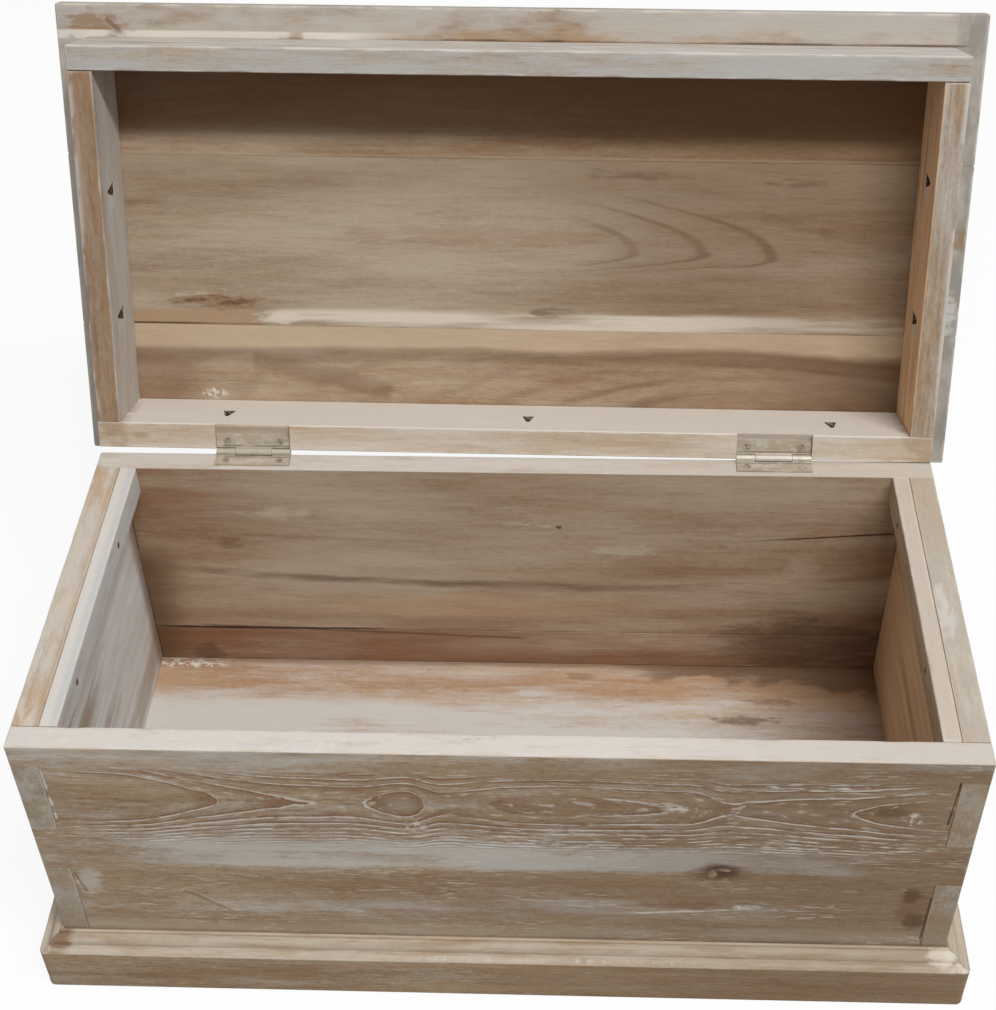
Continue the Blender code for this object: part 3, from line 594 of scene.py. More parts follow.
for side, seed, inner_coat, wash, sawn, top, edges in (
    ("left", 31.7, 0.95, (225, 227, 228), (160, 145, 124), (206, 195, 181), (WORN, WORN, SAWN, WORN)),
    # The right-hand end's darker rim top is painted shade.
    ("right", 36.1, 0.20, GREY_WASH, (146, 128, 106), (186, 175, 161), (WORN, SAWN, WORN, WORN)),
):
    low, _ = np.array(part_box(f"{side}_end_board"))
    end = Timber(f"{side} end board", (low[0], FRONT, RIM), ACROSS, seed, TEAK, PALE_TEAK, plane="xy")
    x, y, z = end.axes
    inside = y.rise(-0.0012, -0.0004) if side == "right" else y.fall(0.0004 - WALL, 0.0012 - WALL)
    sawn_end = x.fall(0.0003, 0.0010).most(x.rise(DEPTH - 0.0010, DEPTH - 0.0003))
    end.wash(wash, inside * inner_coat + (1 - inside) * 0.45, 4, 34, 0.92, 0.5)
    end.lines(800, 8.4, WHITE_WASH, (1 - inside) * 0.35)
    if side == "right":
        end.lay(inside * (0.55 + end.noise(3, 40, 2.6, 4.0) * 0.5), (234, 194, 154))
        end.lay(inside * end.patches(3, 60, 6.6, 0.46, 0.66, 5.0, 0.65) * 0.50, (140, 104, 72))
        # Painted shade towards the back.
        end.lay(inside * x.rise(0.18, 0.29) * 0.25, (122, 88, 58))
    else:
        stain = end.patches(3, 28, 2.6, 0.46, 0.62, 5.0, 0.65)
        end.lay(inside * stain * x.fall(0.08, 0.24) * 0.85, TEAK)
        end.lay(inside * stain * z.fall(-0.21, -0.12) * 0.45, (146, 120, 92))
        patch = end.noise(5, 32, 7.2, 5.0, 0.66)
        end.lay(inside * patch.rise(0.48, 0.64) * 0.40, (180, 171, 158))
        end.lay(inside * patch.fall(0.38, 0.50) * 0.75, (236, 238, 241))
        end.lay(inside * z.fall(-0.20, -0.10) * x.rise(0.12, 0.24) * 0.25, (150, 128, 102))
        # Painted shade in the back corner.
        end.lay(inside * x.rise(0.285, 0.303) * 0.75, (126, 98, 70))
    end.lay(sawn_end * 0.6, sawn)
    end.lay(sawn_end * z.fall(-0.215, -0.175) * 0.55, (150, 131, 107))
    rim = z.rise(*RIM_SKIN)
    tan = end.noise(26, 70, 4.8, 6.0, 0.7)
    end.lay(rim * (0.95 - tan.rise(0.45, 0.65) * 0.50), top)
    if side == "left":
        ends = x.fall(0.03, 0.09).most(x.rise(0.22, 0.30))
        end.lay(rim * ends * tan.rise(0.40, 0.56) * 0.7, (184, 150, 114))
        end.lay(rim * y.fall(0.001 - WALL, 0.006 - WALL) * 0.50, (172, 140, 106))
    else:
        end.spots(rim, ((0.150, -0.006), (0.040, 0.008), (216, 211, 204), 0.6, 1.5))
        end.lay(rim * x.rise(0.20, 0.26) * 0.35, (186, 164, 136))
    end.worn((0, -WALL, low[2] - RIM), (DEPTH, 0, 0), RUBBED, 0.0025, rim * 0.5 + 0.2)
    points, faces = worn_board(DEPTH / 2, TALL, WALL, edges, SAWN, int(seed), end_reach, finger_rows)
    points = set_down(points, (low[0], CENTRE, low[2]), (0, 1, 0), (0, 0, 1), (1, 0, 0))
    add(f"washed_{side}_end", points, faces, end.finish(), "box", "washed_timber", f"{side}_end_board")

# Floor. One board nailed up under the four walls. The wash was brushed over its front half, and it stayed
# orange brown along the back, with stains, painted shade towards the right-hand end and in its back corner,
# and lumps of filler in the back left corner.
FLOOR_AT = (MIDDLE, FRONT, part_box("floor_board")[1][2])
floor = Timber("washed floor board", FLOOR_AT, SQUARE, 41.5, (168, 132, 98), (206, 182, 154), 0.7, "xy")
x, y, _ = floor.axes
shore = y + (floor.noise(7, 24, 9.1, 5.0, 0.6) - 0.5) * 0.07
back_half = shore.rise(0.246, 0.280)
floor.wash((212, 209, 204), 0.80 - back_half * 0.46 - x.rise(0.12, 0.28) * 0.34, 6, 40, 0.9, 0.6)
floor.lay(back_half * floor.patches(5, 60, 8.2, 0.36, 0.60, 4.0) * 0.45, (168, 120, 82))
# Painted shade towards the right-hand end, darkest in a ragged band along the back of the right-hand corner.
floor.lay(x.rise(0.20, 0.31) * 0.45, (142, 105, 71))
corner_shade = y + x * 0.10 + (floor.noise(22, 40, 7.4, 4.0) - 0.5) * 0.05
floor.lay(corner_shade.rise(0.304, 0.316) * x.rise(0.06, 0.16) * 0.70, (98, 72, 49))
filler = floor.patches(150, 260, 5.4, 0.46, 0.56, 3.0, 0.65)
floor.spots(
    1,
    ((0.235, 0.264), (0.026, 0.005), (140, 92, 60), 0.55, 1.3),
    ((0.215, 0.242), (0.034, 0.007), (108, 82, 58), 0.65, 1.3),
    ((0.062, 0.292), (0.016, 0.006), TEAK, 0.6, 1.0),
    ((-0.300, 0.302), (0.040, 0.010), WHITE_WASH, filler * 0.9, 1.0),
)
floor.lay(y.rise(0.299, 0.306) * 0.55, DARK_TEAK)
dress("floor_board", floor.finish())

# Battens. A strip nailed inside each end, flush with the rim, painted over with the wall that it lies on.
# Each is held by two cut nails whose rusty heads show.
rust = Timber("rusty iron", SQUARE, SQUARE, 61.2, (52, 38, 28), (104, 82, 64))
rust.lay(rust.patches(900, 900, 2.8, 0.5, 0.7) * 0.6, (118, 76, 44))
nail_iron = rust.finish(0.6, 1.0)
BATTEN_WORN = 0.0014  # radius of its free edges
for side, seed, coat, shade, top, edges in (
    ("left", 51.4, 0.95, (208, 211, 214), CREAM_WASH, (SAWN, SAWN, BATTEN_WORN, BATTEN_WORN)),
    ("right", 56.8, 0.22, (206, 186, 162), (202, 189, 175), (BATTEN_WORN, BATTEN_WORN, SAWN, SAWN)),
):
    low, high = np.array(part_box(f"{side}_batten"))
    wide, thick = high[2] - low[2], high[0] - low[0]
    batten = Timber(f"{side} batten", (low[0], FRONT, RIM), ACROSS, seed, (148, 116, 86), (194, 170, 142))
    x, y, z = batten.axes
    batten.wash(shade, coat - x.fall(0.04, 0.10) * 0.35, 5, 36)
    rim = z.rise(*RIM_SKIN)
    batten.lay(rim * (0.95 - batten.patches(14, 70, 3.7, 0.50, 0.72, 5.0, 0.65) * 0.5), top)
    if side == "left":
        batten.lay(rim * y.fall(-0.0095, -0.0050) * 0.75, (197, 197, 197))
        batten.lay((1 - rim) * batten.patches(20, 60, 7.9, 0.50, 0.62, 5.0, 0.66) * 0.45, (186, 178, 166))
    batten.worn((WALL, -thick, -wide), (DEPTH - WALL, 0, 0), (218, 209, 196))
    joint = y.fall(-thick, 0.0010 - thick) if side == "right" else y.rise(-0.0010, 0.0)
    batten.lay(joint * rim * 0.65, (140, 114, 86))
    points, faces = worn_board((high[1] - low[1]) / 2, wide, thick, edges, SAWN, int(seed))
    points = set_down(points, (low[0], (low[1] + high[1]) / 2, low[2]), (0, 1, 0), (0, 0, 1), (1, 0, 0))
    add(f"washed_{side}_batten", points, faces, batten.finish(), "box", "washed_timber", f"{side}_batten")
    for where in ("front", "back"):
        dress(f"{side}_batten_nail_{where}", nail_iron)

# Plinth. One moulding run in the solid, with a small bead against the box, a broad bead between two quirks,
# and a flat before its upright face. It is mitred round the four sides, and its corners are worn round.
PLINTH_OUT = 0.019
PLINTH_TOP, PLINTH_FACE = 0.0555, 0.045
SMALL_BEAD = 0.0017  # radius
BROAD_WIDE, BROAD_FOOT, BROAD_RISE = 0.0070, 0.0021, 0.0063
QUIRK = 0.0005
FLAT = 0.0052
PLINTH_EDGE = 0.0013  # worn edges of the upright face
CORNER = 0.0055  # plan radius of the worn corners
MITRE_TURN = np.radians(np.linspace(0, 45, 7))
PLINTH_DIP = 0.00025  # how far its faces are worn down in places


def moulding():
    """Section (out, up), round from the box's foot: an arc for each bead and worn edge, lines between."""
    small = np.radians(np.linspace(90, -20, 9))
    broad = np.radians(np.linspace(75, 0, 11))
    worn = np.radians(np.linspace(90, 0, 6))
    bead_at = FIT + SMALL_BEAD
    broad_end = bead_at + SMALL_BEAD + QUIRK + BROAD_WIDE
    flat_start = PLINTH_OUT - FLAT
    edge_at = PLINTH_OUT - PLINTH_EDGE
    bead_foot = PLINTH_FACE + BROAD_FOOT
    rows = [
        [(FIT, 0.0), (FIT, PLINTH_TOP - SMALL_BEAD)],
        np.stack([bead_at + SMALL_BEAD * np.cos(small), PLINTH_TOP + SMALL_BEAD * (np.sin(small) - 1)], 1),
        [(broad_end - BROAD_WIDE - QUIRK / 2, PLINTH_TOP - SMALL_BEAD - QUIRK)],
        np.stack([broad_end + BROAD_WIDE * (np.cos(broad) - 1), bead_foot + BROAD_RISE * np.sin(broad)], 1),
        [((broad_end + flat_start) / 2, bead_foot - QUIRK), (flat_start, PLINTH_FACE + PLINTH_EDGE / 2)],
        np.stack([edge_at + PLINTH_EDGE * np.cos(worn), PLINTH_FACE + PLINTH_EDGE * (np.sin(worn) - 1)], 1),
        [(PLINTH_OUT, height) for height in (0.036, 0.027, 0.018, 0.009)],
        np.stack([edge_at + PLINTH_EDGE * np.sin(worn), PLINTH_EDGE * (1 - np.cos(worn))], 1),
    ]
    return np.concatenate([np.array(row, float) for row in rows])


def plinth_length(length, seed):
    """The section carried along a wall. Each of its lines turns the corner on an arc, as far as the mitre."""
    out, up = moulding().T
    centre = np.minimum(out - 0.0002, PLINTH_OUT - CORNER)
    radius = out - centre
    straight = np.linspace(-1, 1, 121)[:, None]
    half = length / 2 - 0.7 * FIT
    along = straight * (half + centre)
    turned = half + centre + radius * np.sin(MITRE_TURN)[1:, None]
    away = centre + radius * np.cos(MITRE_TURN)[1:, None]
    along = np.concatenate([-turned[::-1], along, turned])
    away = np.concatenate([away[::-1], np.repeat(out[None], len(straight), 0), away])
    dip = PLINTH_DIP * np.maximum(1 + wander(along, seed), 0) * (out > 0.002) * (up > 0.002)
    up = np.repeat(up[None], len(along), 0) - dip * (out < PLINTH_OUT - 0.001)
    return along, away - dip * (out > PLINTH_OUT - 0.002), up


for side, seed, length, corner, ahead, outward in (
    ("front", 71.5, 2 * HALF, (MIDDLE, FRONT), (1, 0), (0, -1)),
    ("right", 73.2, DEPTH, (MIDDLE + HALF, CENTRE), (0, 1), (1, 0)),
    ("back", 76.6, 2 * HALF, (MIDDLE, FRONT + DEPTH), (-1, 0), (0, 1)),
    ("left", 78.3, DEPTH, (MIDDLE - HALF, CENTRE), (0, -1), (-1, 0)),
):
    turn = SQUARE if side in ("front", "back") else ACROSS
    skirting = Timber(f"plinth {side}", (*corner, 0.0), turn, seed, TEAK, (190, 166, 136), plane="xy")
    x, y, z = skirting.axes
    top = z.rise(PLINTH_FACE - 0.0020, PLINTH_FACE - 0.0002)
    upright = 1 - top
    skirting.wash((184, 174, 159), 0.30 + top * 0.42 - upright * x.rise(-0.1, 0.3) * 0.2, 6, 60, 0.85)
    skirting.lines(800, seed + 2, WHITE_WASH, upright * 0.35)
    grooves = skirting.noise(4, 480, seed + 5, 3.0, 0.6)
    skirting.lay(grooves.rise(0.50, 0.62) * top * 0.3, (198, 186, 168))
    skirting.lay(grooves.fall(0.36, 0.46) * top * 0.2, (172, 142, 110))
    skirting.lay(abs(y).fall(0.0036, 0.0050) * top * 0.45, (184, 160, 132))
    blotch = skirting.noise(14, 160, seed + 7, 5.0, 0.66)
    skirting.lay(blotch.rise(0.50, 0.62) * top * 0.50, (156, 128, 98))
    skirting.lay(blotch.fall(0.36, 0.48) * top * 0.40, (198, 188, 174))
    # A pale line along the upright face's top edge: rubbed wash, partly a painted highlight.
    edge = z.near(PLINTH_FACE - 0.0002, 0.0016) * skirting.patches(20, 20, 5.2, 0.36, 0.52, 4.0)
    skirting.lay(edge * 0.45, (204, 192, 176))
    if side == "front":
        skirting.lay(upright * (0.12 + x.rise(-0.15, 0.25) * 0.38), (108, 82, 56))
        skirting.lay(top * x.rise(-0.05, 0.30) * 0.40, (146, 126, 103))
        skirting.spots(
            top,
            ((-0.353, -0.006), (0.013, 0.009), (116, 84, 54), 0.75, 1.0),
            ((0.350, -0.008), (0.016, 0.007), (222, 211, 196), 0.75, 1.2),
        )
        corner_dirt = abs(x).rise(0.340, 0.358) * top * skirting.patches(60, 60, 3.9, 0.36, 0.56)
        skirting.lay(corner_dirt * 0.65 * x.fall(0, 0.1), (136, 104, 70))
        skirting.lay(corner_dirt * 0.75 * x.rise(0, 0.1), (230, 219, 204))
        ticks = skirting.patches(330, 60, 2.1, 0.52, 0.66, 1.0) * y.near(-0.0155, 0.0028)
        skirting.lay(ticks * top * x.between(-0.05, 0.12, 0.05) * 0.6, (206, 202, 194))
    along, away, up = plinth_length(length, int(seed))
    points = [corner[i] + along * ahead[i] + away * outward[i] for i in range(2)] + [up]
    points = np.stack(points, -1).reshape(-1, 3)
    index, faces = skin(*along.shape)
    faces += [index[0][::-1].tolist(), index[-1].tolist()]
    add(f"washed_plinth_{side}", points, faces, skirting.finish(), "box", "washed_timber", f"plinth_{side}")

# Lid planks. Three planks along the trunk, edge to edge, that oversail the frame all round. Inside they are
# brown wood with a thin wash, darkest at the front, which is partly painted shade under the front rail, and
# where they oversail the frame they are whitewashed like the outside.
HINGE = np.array(frame["joints"][0]["pos_m"])
LID_OPEN, LID_SKEW = math.radians(111.3), math.radians(0.45)
LID_TURN = Matrix.Rotation(-LID_OPEN, 3, "X") @ Matrix.Rotation(LID_SKEW, 3, "Z")
LID_EULER = tuple(LID_TURN.to_euler())
# From the hinge pin, with the lid shut.
LID_BACK = -0.0009
LID_FRONT = LID_BACK - DEPTH
LID_FOOT = -0.0017  # underside of the frame
RAIL_TALL, RAIL_THICK, BACK_RAIL_THICK = 0.070, 0.0195, 0.022
PLANK_THICK = 0.018
OVERHANG, BACK_OVERHANG = 0.0255, 0.0235
PLANK_START, PLANK_END = LID_FRONT - OVERHANG, LID_BACK + BACK_OVERHANG
FRONT_SEAM, BACK_SEAM = LID_FRONT + 0.0935, LID_BACK - 0.0895
PLANK_UNDER = LID_FOOT + RAIL_TALL + FIT
PLANK_HALF = HALF + OVERHANG
LID_EDGE, SEAM_EDGE = 0.0016, 0.00012  # worn radii
SEAM = 0.0001  # gap between planks


def lift(points):
    """Points of the shut lid, measured from the hinge pin, turned to where the open lid stands."""
    return HINGE + points @ np.array(LID_TURN).T


def chevrons(wood, inside):
    """Soft brown tongues with points to the right: parabolas, long above the point and flat below it."""
    x, y, _ = wood.axes
    dip = y + 0.1565 + (wood.noise(12, 20, 3.1, 3.0) - 0.5) * 0.010
    bent = (x + dip.least(0.0) ** 2 * 52 + dip.most(0.0) ** 2 * 480) / 0.058 - 1.22
    bent = bent + (wood.noise(9, 30, 6.6, 3.0) - 0.5) * 0.35
    behind = bent.fraction()
    line = abs(behind - 0.5).fall(0.02, 0.16) * (0.35 + wood.patches(14, 40, 8.8, 0.3, 0.65, 4.0) * 0.65)
    where = bent.between(0.25, 2.8, 0.15) * dip.between(-0.040, 0.010, 0.014) * x.rise(0.03, 0.09) * inside
    wood.lay(behind * behind.fall(0.5, 0.6) * where * 0.35, (118, 88, 60))
    wood.lay(line * where * 0.50, (100, 71, 47))
    wood.strokes(
        inside,
        ((0.205, -0.190), (0.262, -0.176), 0.0060, (98, 72, 50), 0.22),
        ((0.255, -0.178), (0.325, -0.166), 0.0070, (98, 72, 50), 0.25),
    )


def scar(wood, inside):
    """A brown hollow on the left, by the seam, and the cream streak that runs from it along the seam."""
    x, y, _ = wood.axes
    rough = (wood.noise(30, 90, 5.1, 5.0, 0.68) - 0.5) * 0.012
    band = (y + rough).rise(-0.106, -0.102) * (x + rough * 2).fall(-0.226, -0.220)
    torn = wood.noise(60, 200, 7.4, 5.0, 0.7)
    wood.lay(band * inside * (0.95 - torn.rise(0.45, 0.65) * 0.35), (174, 144, 113))
    wood.spots(
        inside,
        ((-0.252, -0.1105), (0.044, 0.0080), (146, 110, 79), 0.80, 1.0),
        ((-0.258, -0.1110), (0.040, 0.0052), (100, 71, 48), torn.rise(0.42, 0.56) * 0.85, 1.0),
    )
    wood.strokes(
        inside,
        ((-0.262, -0.1168), (-0.226, -0.1105), 0.0012, (112, 82, 56), 0.45),
        ((-0.292, -0.1165), (-0.250, -0.1195), 0.0030, (198, 182, 160), torn.rise(0.4, 0.6) * 0.6),
        ((-0.33, -0.0912), (-0.205, -0.0912), 0.0015, (80, 56, 38), 0.85 - x.rise(-0.29, -0.25) * 0.5),
    )
    wood.spots(inside, ((-0.205, -0.098), (0.024, 0.0065), (216, 203, 186), 0.9, 1.0))
    streak = y.between(-0.102, -0.0905, 0.006) * inside * wood.patches(6, 90, 2.9, 0.30, 0.56, 4.0)
    wood.lay(streak * x.rise(-0.22, -0.20) * (1 - x.rise(0.1, 0.30) * 0.5) * 0.9, (218, 206, 190))


for where, seed, start, end, edges, brown, pale, coat in (
    # The front plank's darker wood is partly painted shade.
    ("front", 81.4, PLANK_START, FRONT_SEAM - SEAM / 2, (LID_EDGE, SEAM_EDGE, SEAM_EDGE, LID_EDGE),
     (116, 86, 58), (160, 132, 102), 0.30),
    ("middle", 84.9, FRONT_SEAM + SEAM / 2, BACK_SEAM - SEAM / 2, (SEAM_EDGE,) * 4,
     (124, 98, 72), (175, 152, 125), 0.52),
    ("back", 87.2, BACK_SEAM + SEAM / 2, PLANK_END, (SEAM_EDGE, LID_EDGE, LID_EDGE, SEAM_EDGE),
     (132, 103, 75), (184, 158, 130), 0.46),
):
    plank = Timber(f"lid plank {where}", tuple(HINGE), LID_EULER, seed, brown, pale, 0.6, "xy")
    x, y, z = plank.axes
    under = z.fall(PLANK_UNDER + 0.002, PLANK_UNDER + 0.004)
    edge_on = abs(x).rise(HALF - 0.001, HALF + 0.002) * under
    outside = edge_on.most(y.fall(LID_FRONT - 0.002, LID_FRONT + 0.001)).most(1 - under)
    inside = 1 - outside
    right = x.rise(-0.05, 0.28)
    plank.wash((190, 176, 156), inside * (coat - right * 0.30) + outside * 0.50, 3.5, 22, 0.8, 0.8)
    plank.lay(inside * right * 0.35, SHADED_TEAK)
    if where == "front":
        # Darker towards the front rail: brown wood, partly painted shade where the rail's shadow falls.
        plank.lay(inside * y.fall(FRONT_SEAM - 0.030, FRONT_SEAM - 0.012) * 0.72, (110, 76, 44))
        strip = y.rise(LID_FRONT - 0.010, LID_FRONT - 0.002) * plank.patches(7, 60, 5.6, 0.36, 0.60, 4.0)
        plank.lay(outside * under * strip * 0.6, (178, 146, 112))
        plank.lay(y.near(FRONT_SEAM - 0.0015, 0.0022) * inside * 0.25, (190, 170, 144))
    if where == "middle":
        plank.lay(inside * x.near(0.13, 0.17) * 0.30, SHADED_TEAK)
        chevrons(plank, inside)
        scar(plank, inside)
        tan = y.between(FRONT_SEAM, FRONT_SEAM + 0.016, 0.010) * plank.patches(4, 50, 2.3, 0.3, 0.6)
        plank.lay(tan * inside * 0.25, (180, 158, 132))
        plank.lay(inside * y.fall(FRONT_SEAM + 0.02, FRONT_SEAM + 0.06) * 0.28, (118, 96, 72))
        soft = plank.patches(30, 260, 4.6, 0.36, 0.62, 4.0, 0.65)
        plank.spots(
            inside,
            ((0.093, -0.223), (0.040, 0.006), (92, 70, 50), soft * 0.5, 1.2),
            ((0.230, -0.219), (0.034, 0.005), (92, 70, 50), soft * 0.45, 1.2),
            ((0.029, -0.106), (0.022, 0.005), (92, 70, 50), soft * 0.6, 1.2),
            ((-0.03, -0.170), (0.12, 0.012), (146, 106, 74), 0.30, 1.3),
        )
    if where == "back":
        wave = y + (plank.noise(5, 10, 4.2, 3.0) - 0.5) * 0.03
        below = wave.rise(BACK_SEAM + 0.016, BACK_SEAM + 0.026)
        plank.lay((1 - below) * inside * (0.30 + plank.noise(16, 90, 3.8, 5.0, 0.66) * 0.75), (200, 176, 147))
        plank.lay(wave.between(BACK_SEAM + 0.022, BACK_SEAM + 0.030, 0.006) * inside * 0.35, (104, 76, 52))
        # Faint contour lines round a point low on the right.
        arcs = (((x - 0.20) / 0.20) ** 2 + ((y + 0.018) / 0.040) ** 2) ** 0.5 * 3.4
        arcs = arcs + (plank.noise(3, 14, 7.3, 3.0) - 0.5) * 2.2
        contour = abs(arcs.fraction() - 0.5).fall(0.03, 0.30)
        faint = plank.patches(10, 40, 9.4, 0.34, 0.62) * (0.35 + x.rise(-0.08, 0.08) * 0.65)
        plank.lay(contour * below * inside * faint * 0.45, (98, 70, 47))
        plank.strokes(below * inside, ((-0.225, -0.060), (-0.112, -0.034), 0.0120, SHADED_TEAK, 0.40))
        plank.lay(x.fall(-0.31, -0.25) * below * inside * 0.40, (120, 84, 56))
        plank.lay(x.rise(0.18, 0.30) * below * inside * 0.5, (92, 67, 46))
        splash = plank.patches(150, 150, 2.2, 0.46, 0.58, 4.0, 0.65)
        plank.spots(inside, ((-0.264, -0.029), (0.012, 0.006), WHITE_WASH, splash * 0.8, 0.8))
    strip = plank.noise(9, 30, seed + 4, 6.0, 0.68) + edge_on * 0.12 + x.rise(-0.1, 0.3) * 0.06
    plank.lay(outside * strip.rise(0.36, 0.62) * 0.75, (190, 186, 179))
    worn_off = 0.35 + plank.patches(40, 16, 6.7, 0.4, 0.6, 6.0, 0.68) * 0.55
    plank.lay(edge_on * x.rise(0, 0.1) * worn_off, (144, 138, 129))
    if where == "front":
        plank.spots(under, ((-0.345, LID_FRONT - 0.010), (0.030, 0.009), (146, 112, 80), 0.75, 1.2))
        slip = ((-0.334, LID_FRONT - 0.014), (-0.320, LID_FRONT - 0.001), 0.0030, DARK_TEAK, 0.7)
        plank.strokes(under, slip)
        by_rail = y.between(LID_FRONT - 0.0045, LID_FRONT + 0.001, 0.0015) * under
        filler = by_rail * x.fall(-0.16, -0.08) * plank.patches(22, 22, 5.8, 0.36, 0.46, 4.0)
        plank.lay(filler * 0.95, (222, 214, 202))
        open_joint = y.near(LID_FRONT - 0.0008, 0.0018) * x.rise(-0.14, -0.04) * under
        plank.lay(open_joint * plank.patches(12, 12, 4.4, 0.42, 0.55) * 0.8, (84, 62, 42))
    if where == "middle":
        plank.spots(
            edge_on,
            ((0.371, -0.174), (0.010, 0.011), (146, 118, 90), 0.8, 0.7),
            ((0.366, -0.110), (0.008, 0.018), (212, 209, 203), 0.6, 1.3),
        )
    seam = y.near(FRONT_SEAM, 0.0011).most(y.near(BACK_SEAM, 0.0011))
    plank.lay(seam * (1 - under) * (0.35 + plank.patches(9, 9, 3.6, 0.4, 0.6) * 0.5), DARK_TEAK)
    shell = (-PLANK_HALF, PLANK_START, PLANK_UNDER), (PLANK_HALF, PLANK_END, PLANK_UNDER + PLANK_THICK)
    plank.worn(*shell, (212, 204, 190))
    points, faces = worn_board(PLANK_HALF, end - start, PLANK_THICK, edges, LID_EDGE, int(seed))
    points = lift(set_down(points, (0, start, PLANK_UNDER), (1, 0, 0), (0, 1, 0), (0, 0, 1)))
    add(f"lid_{where}_plank", points, faces, plank.finish(), "lid", "brown_timber", f"lid_plank_{where}")

# Lid frame. Four rails, the front and back ones full length and the sides between them, glued under the
# planks and held by screws driven up from notches that a chisel cut in their inner faces. The back rail is
# let in for the hinges.
POCKET_SHELF = 0.040  # above the rail's foot
POCKET_WIDE, POCKET_TALL, POCKET_DEEP = 0.012, 0.019, 0.0125
POCKET = (POCKET_SHELF, POCKET_WIDE, POCKET_TALL, POCKET_DEEP)
RAIL_WORN = (0.0013, 0.0008, 0.0008, 0.0013)
RAIL_TOP = LID_FOOT + RAIL_TALL
RAIL_INNER, BACK_RAIL_INNER = LID_FRONT + RAIL_THICK, LID_BACK - BACK_RAIL_THICK
SIDE_RAIL_START, SIDE_RAIL_END = RAIL_INNER + FIT, BACK_RAIL_INNER - FIT
SIDE_RAIL_MIDDLE = (SIDE_RAIL_START + SIDE_RAIL_END) / 2
SIDE_RAIL_HALF = (SIDE_RAIL_END - SIDE_RAIL_START) / 2
SIDE_EULER = tuple((LID_TURN @ Matrix.Rotation(math.radians(90), 3, "Z")).to_euler())


def darken_pockets(wood, deep, along):
    """Painted shade and dirt in the chiselled notches: at their height, deeper than the rail's inner face."""
    shelf = LID_FOOT + POCKET_SHELF
    height = wood.axes[2].between(shelf - POCKET_TALL - 0.002, shelf + 0.0008, 0.0006)
    clear = abs(along).fall(HALF - 0.012, HALF - 0.010)
    torn = wood.patches(420, 420, 6.8, 0.46, 0.60, 2.0)
    wood.lay(deep.between(0.0012, 0.0150, 0.0009) * height * clear * (0.95 - torn * 0.45), (58, 39, 24))


rail = Timber("lid front rail", tuple(HINGE), LID_EULER, 91.3, (148, 122, 94), (184, 166, 142))
x, y, z = rail.axes
rail.wash((180, 179, 176), 0.50 + x.rise(-0.2, 0.1) * 0.20, 6, 50, 0.9, 0.6)
rail.worn((-HALF, LID_FRONT, LID_FOOT), (HALF, RAIL_INNER, RAIL_TOP), (206, 202, 195))
outer = y.fall(LID_FRONT, LID_FRONT + 0.002)
rail.lay(outer * rail.patches(16, 110, 2.4, 0.30, 0.64, 6.0, 0.68) * 0.75, (218, 211, 200))
under_plank = z.rise(RAIL_TOP - 0.006, RAIL_TOP)
rail.lay(under_plank * outer * rail.patches(9, 9, 3.4, 0.46, 0.56, 4.0) * 0.6, (120, 92, 64))
rail.lay(y.rise(RAIL_INNER - 0.001, RAIL_INNER - 0.0003) * 0.8, (128, 96, 64))
darken_pockets(rail, RAIL_INNER - y, x)
notches = [(at, *POCKET) for at in (HALF - 0.105, -0.012, 0.088 - HALF)]
points, faces = worn_board(HALF, RAIL_TALL, RAIL_THICK, RAIL_WORN, LID_EDGE, 91, pockets=notches)
points = lift(set_down(points, (0, LID_FRONT, LID_FOOT), (-1, 0, 0), (0, 0, 1), (0, 1, 0)))
add("washed_front_rail", points, faces, rail.finish(), "lid", "washed_timber", "lid_front_rail")

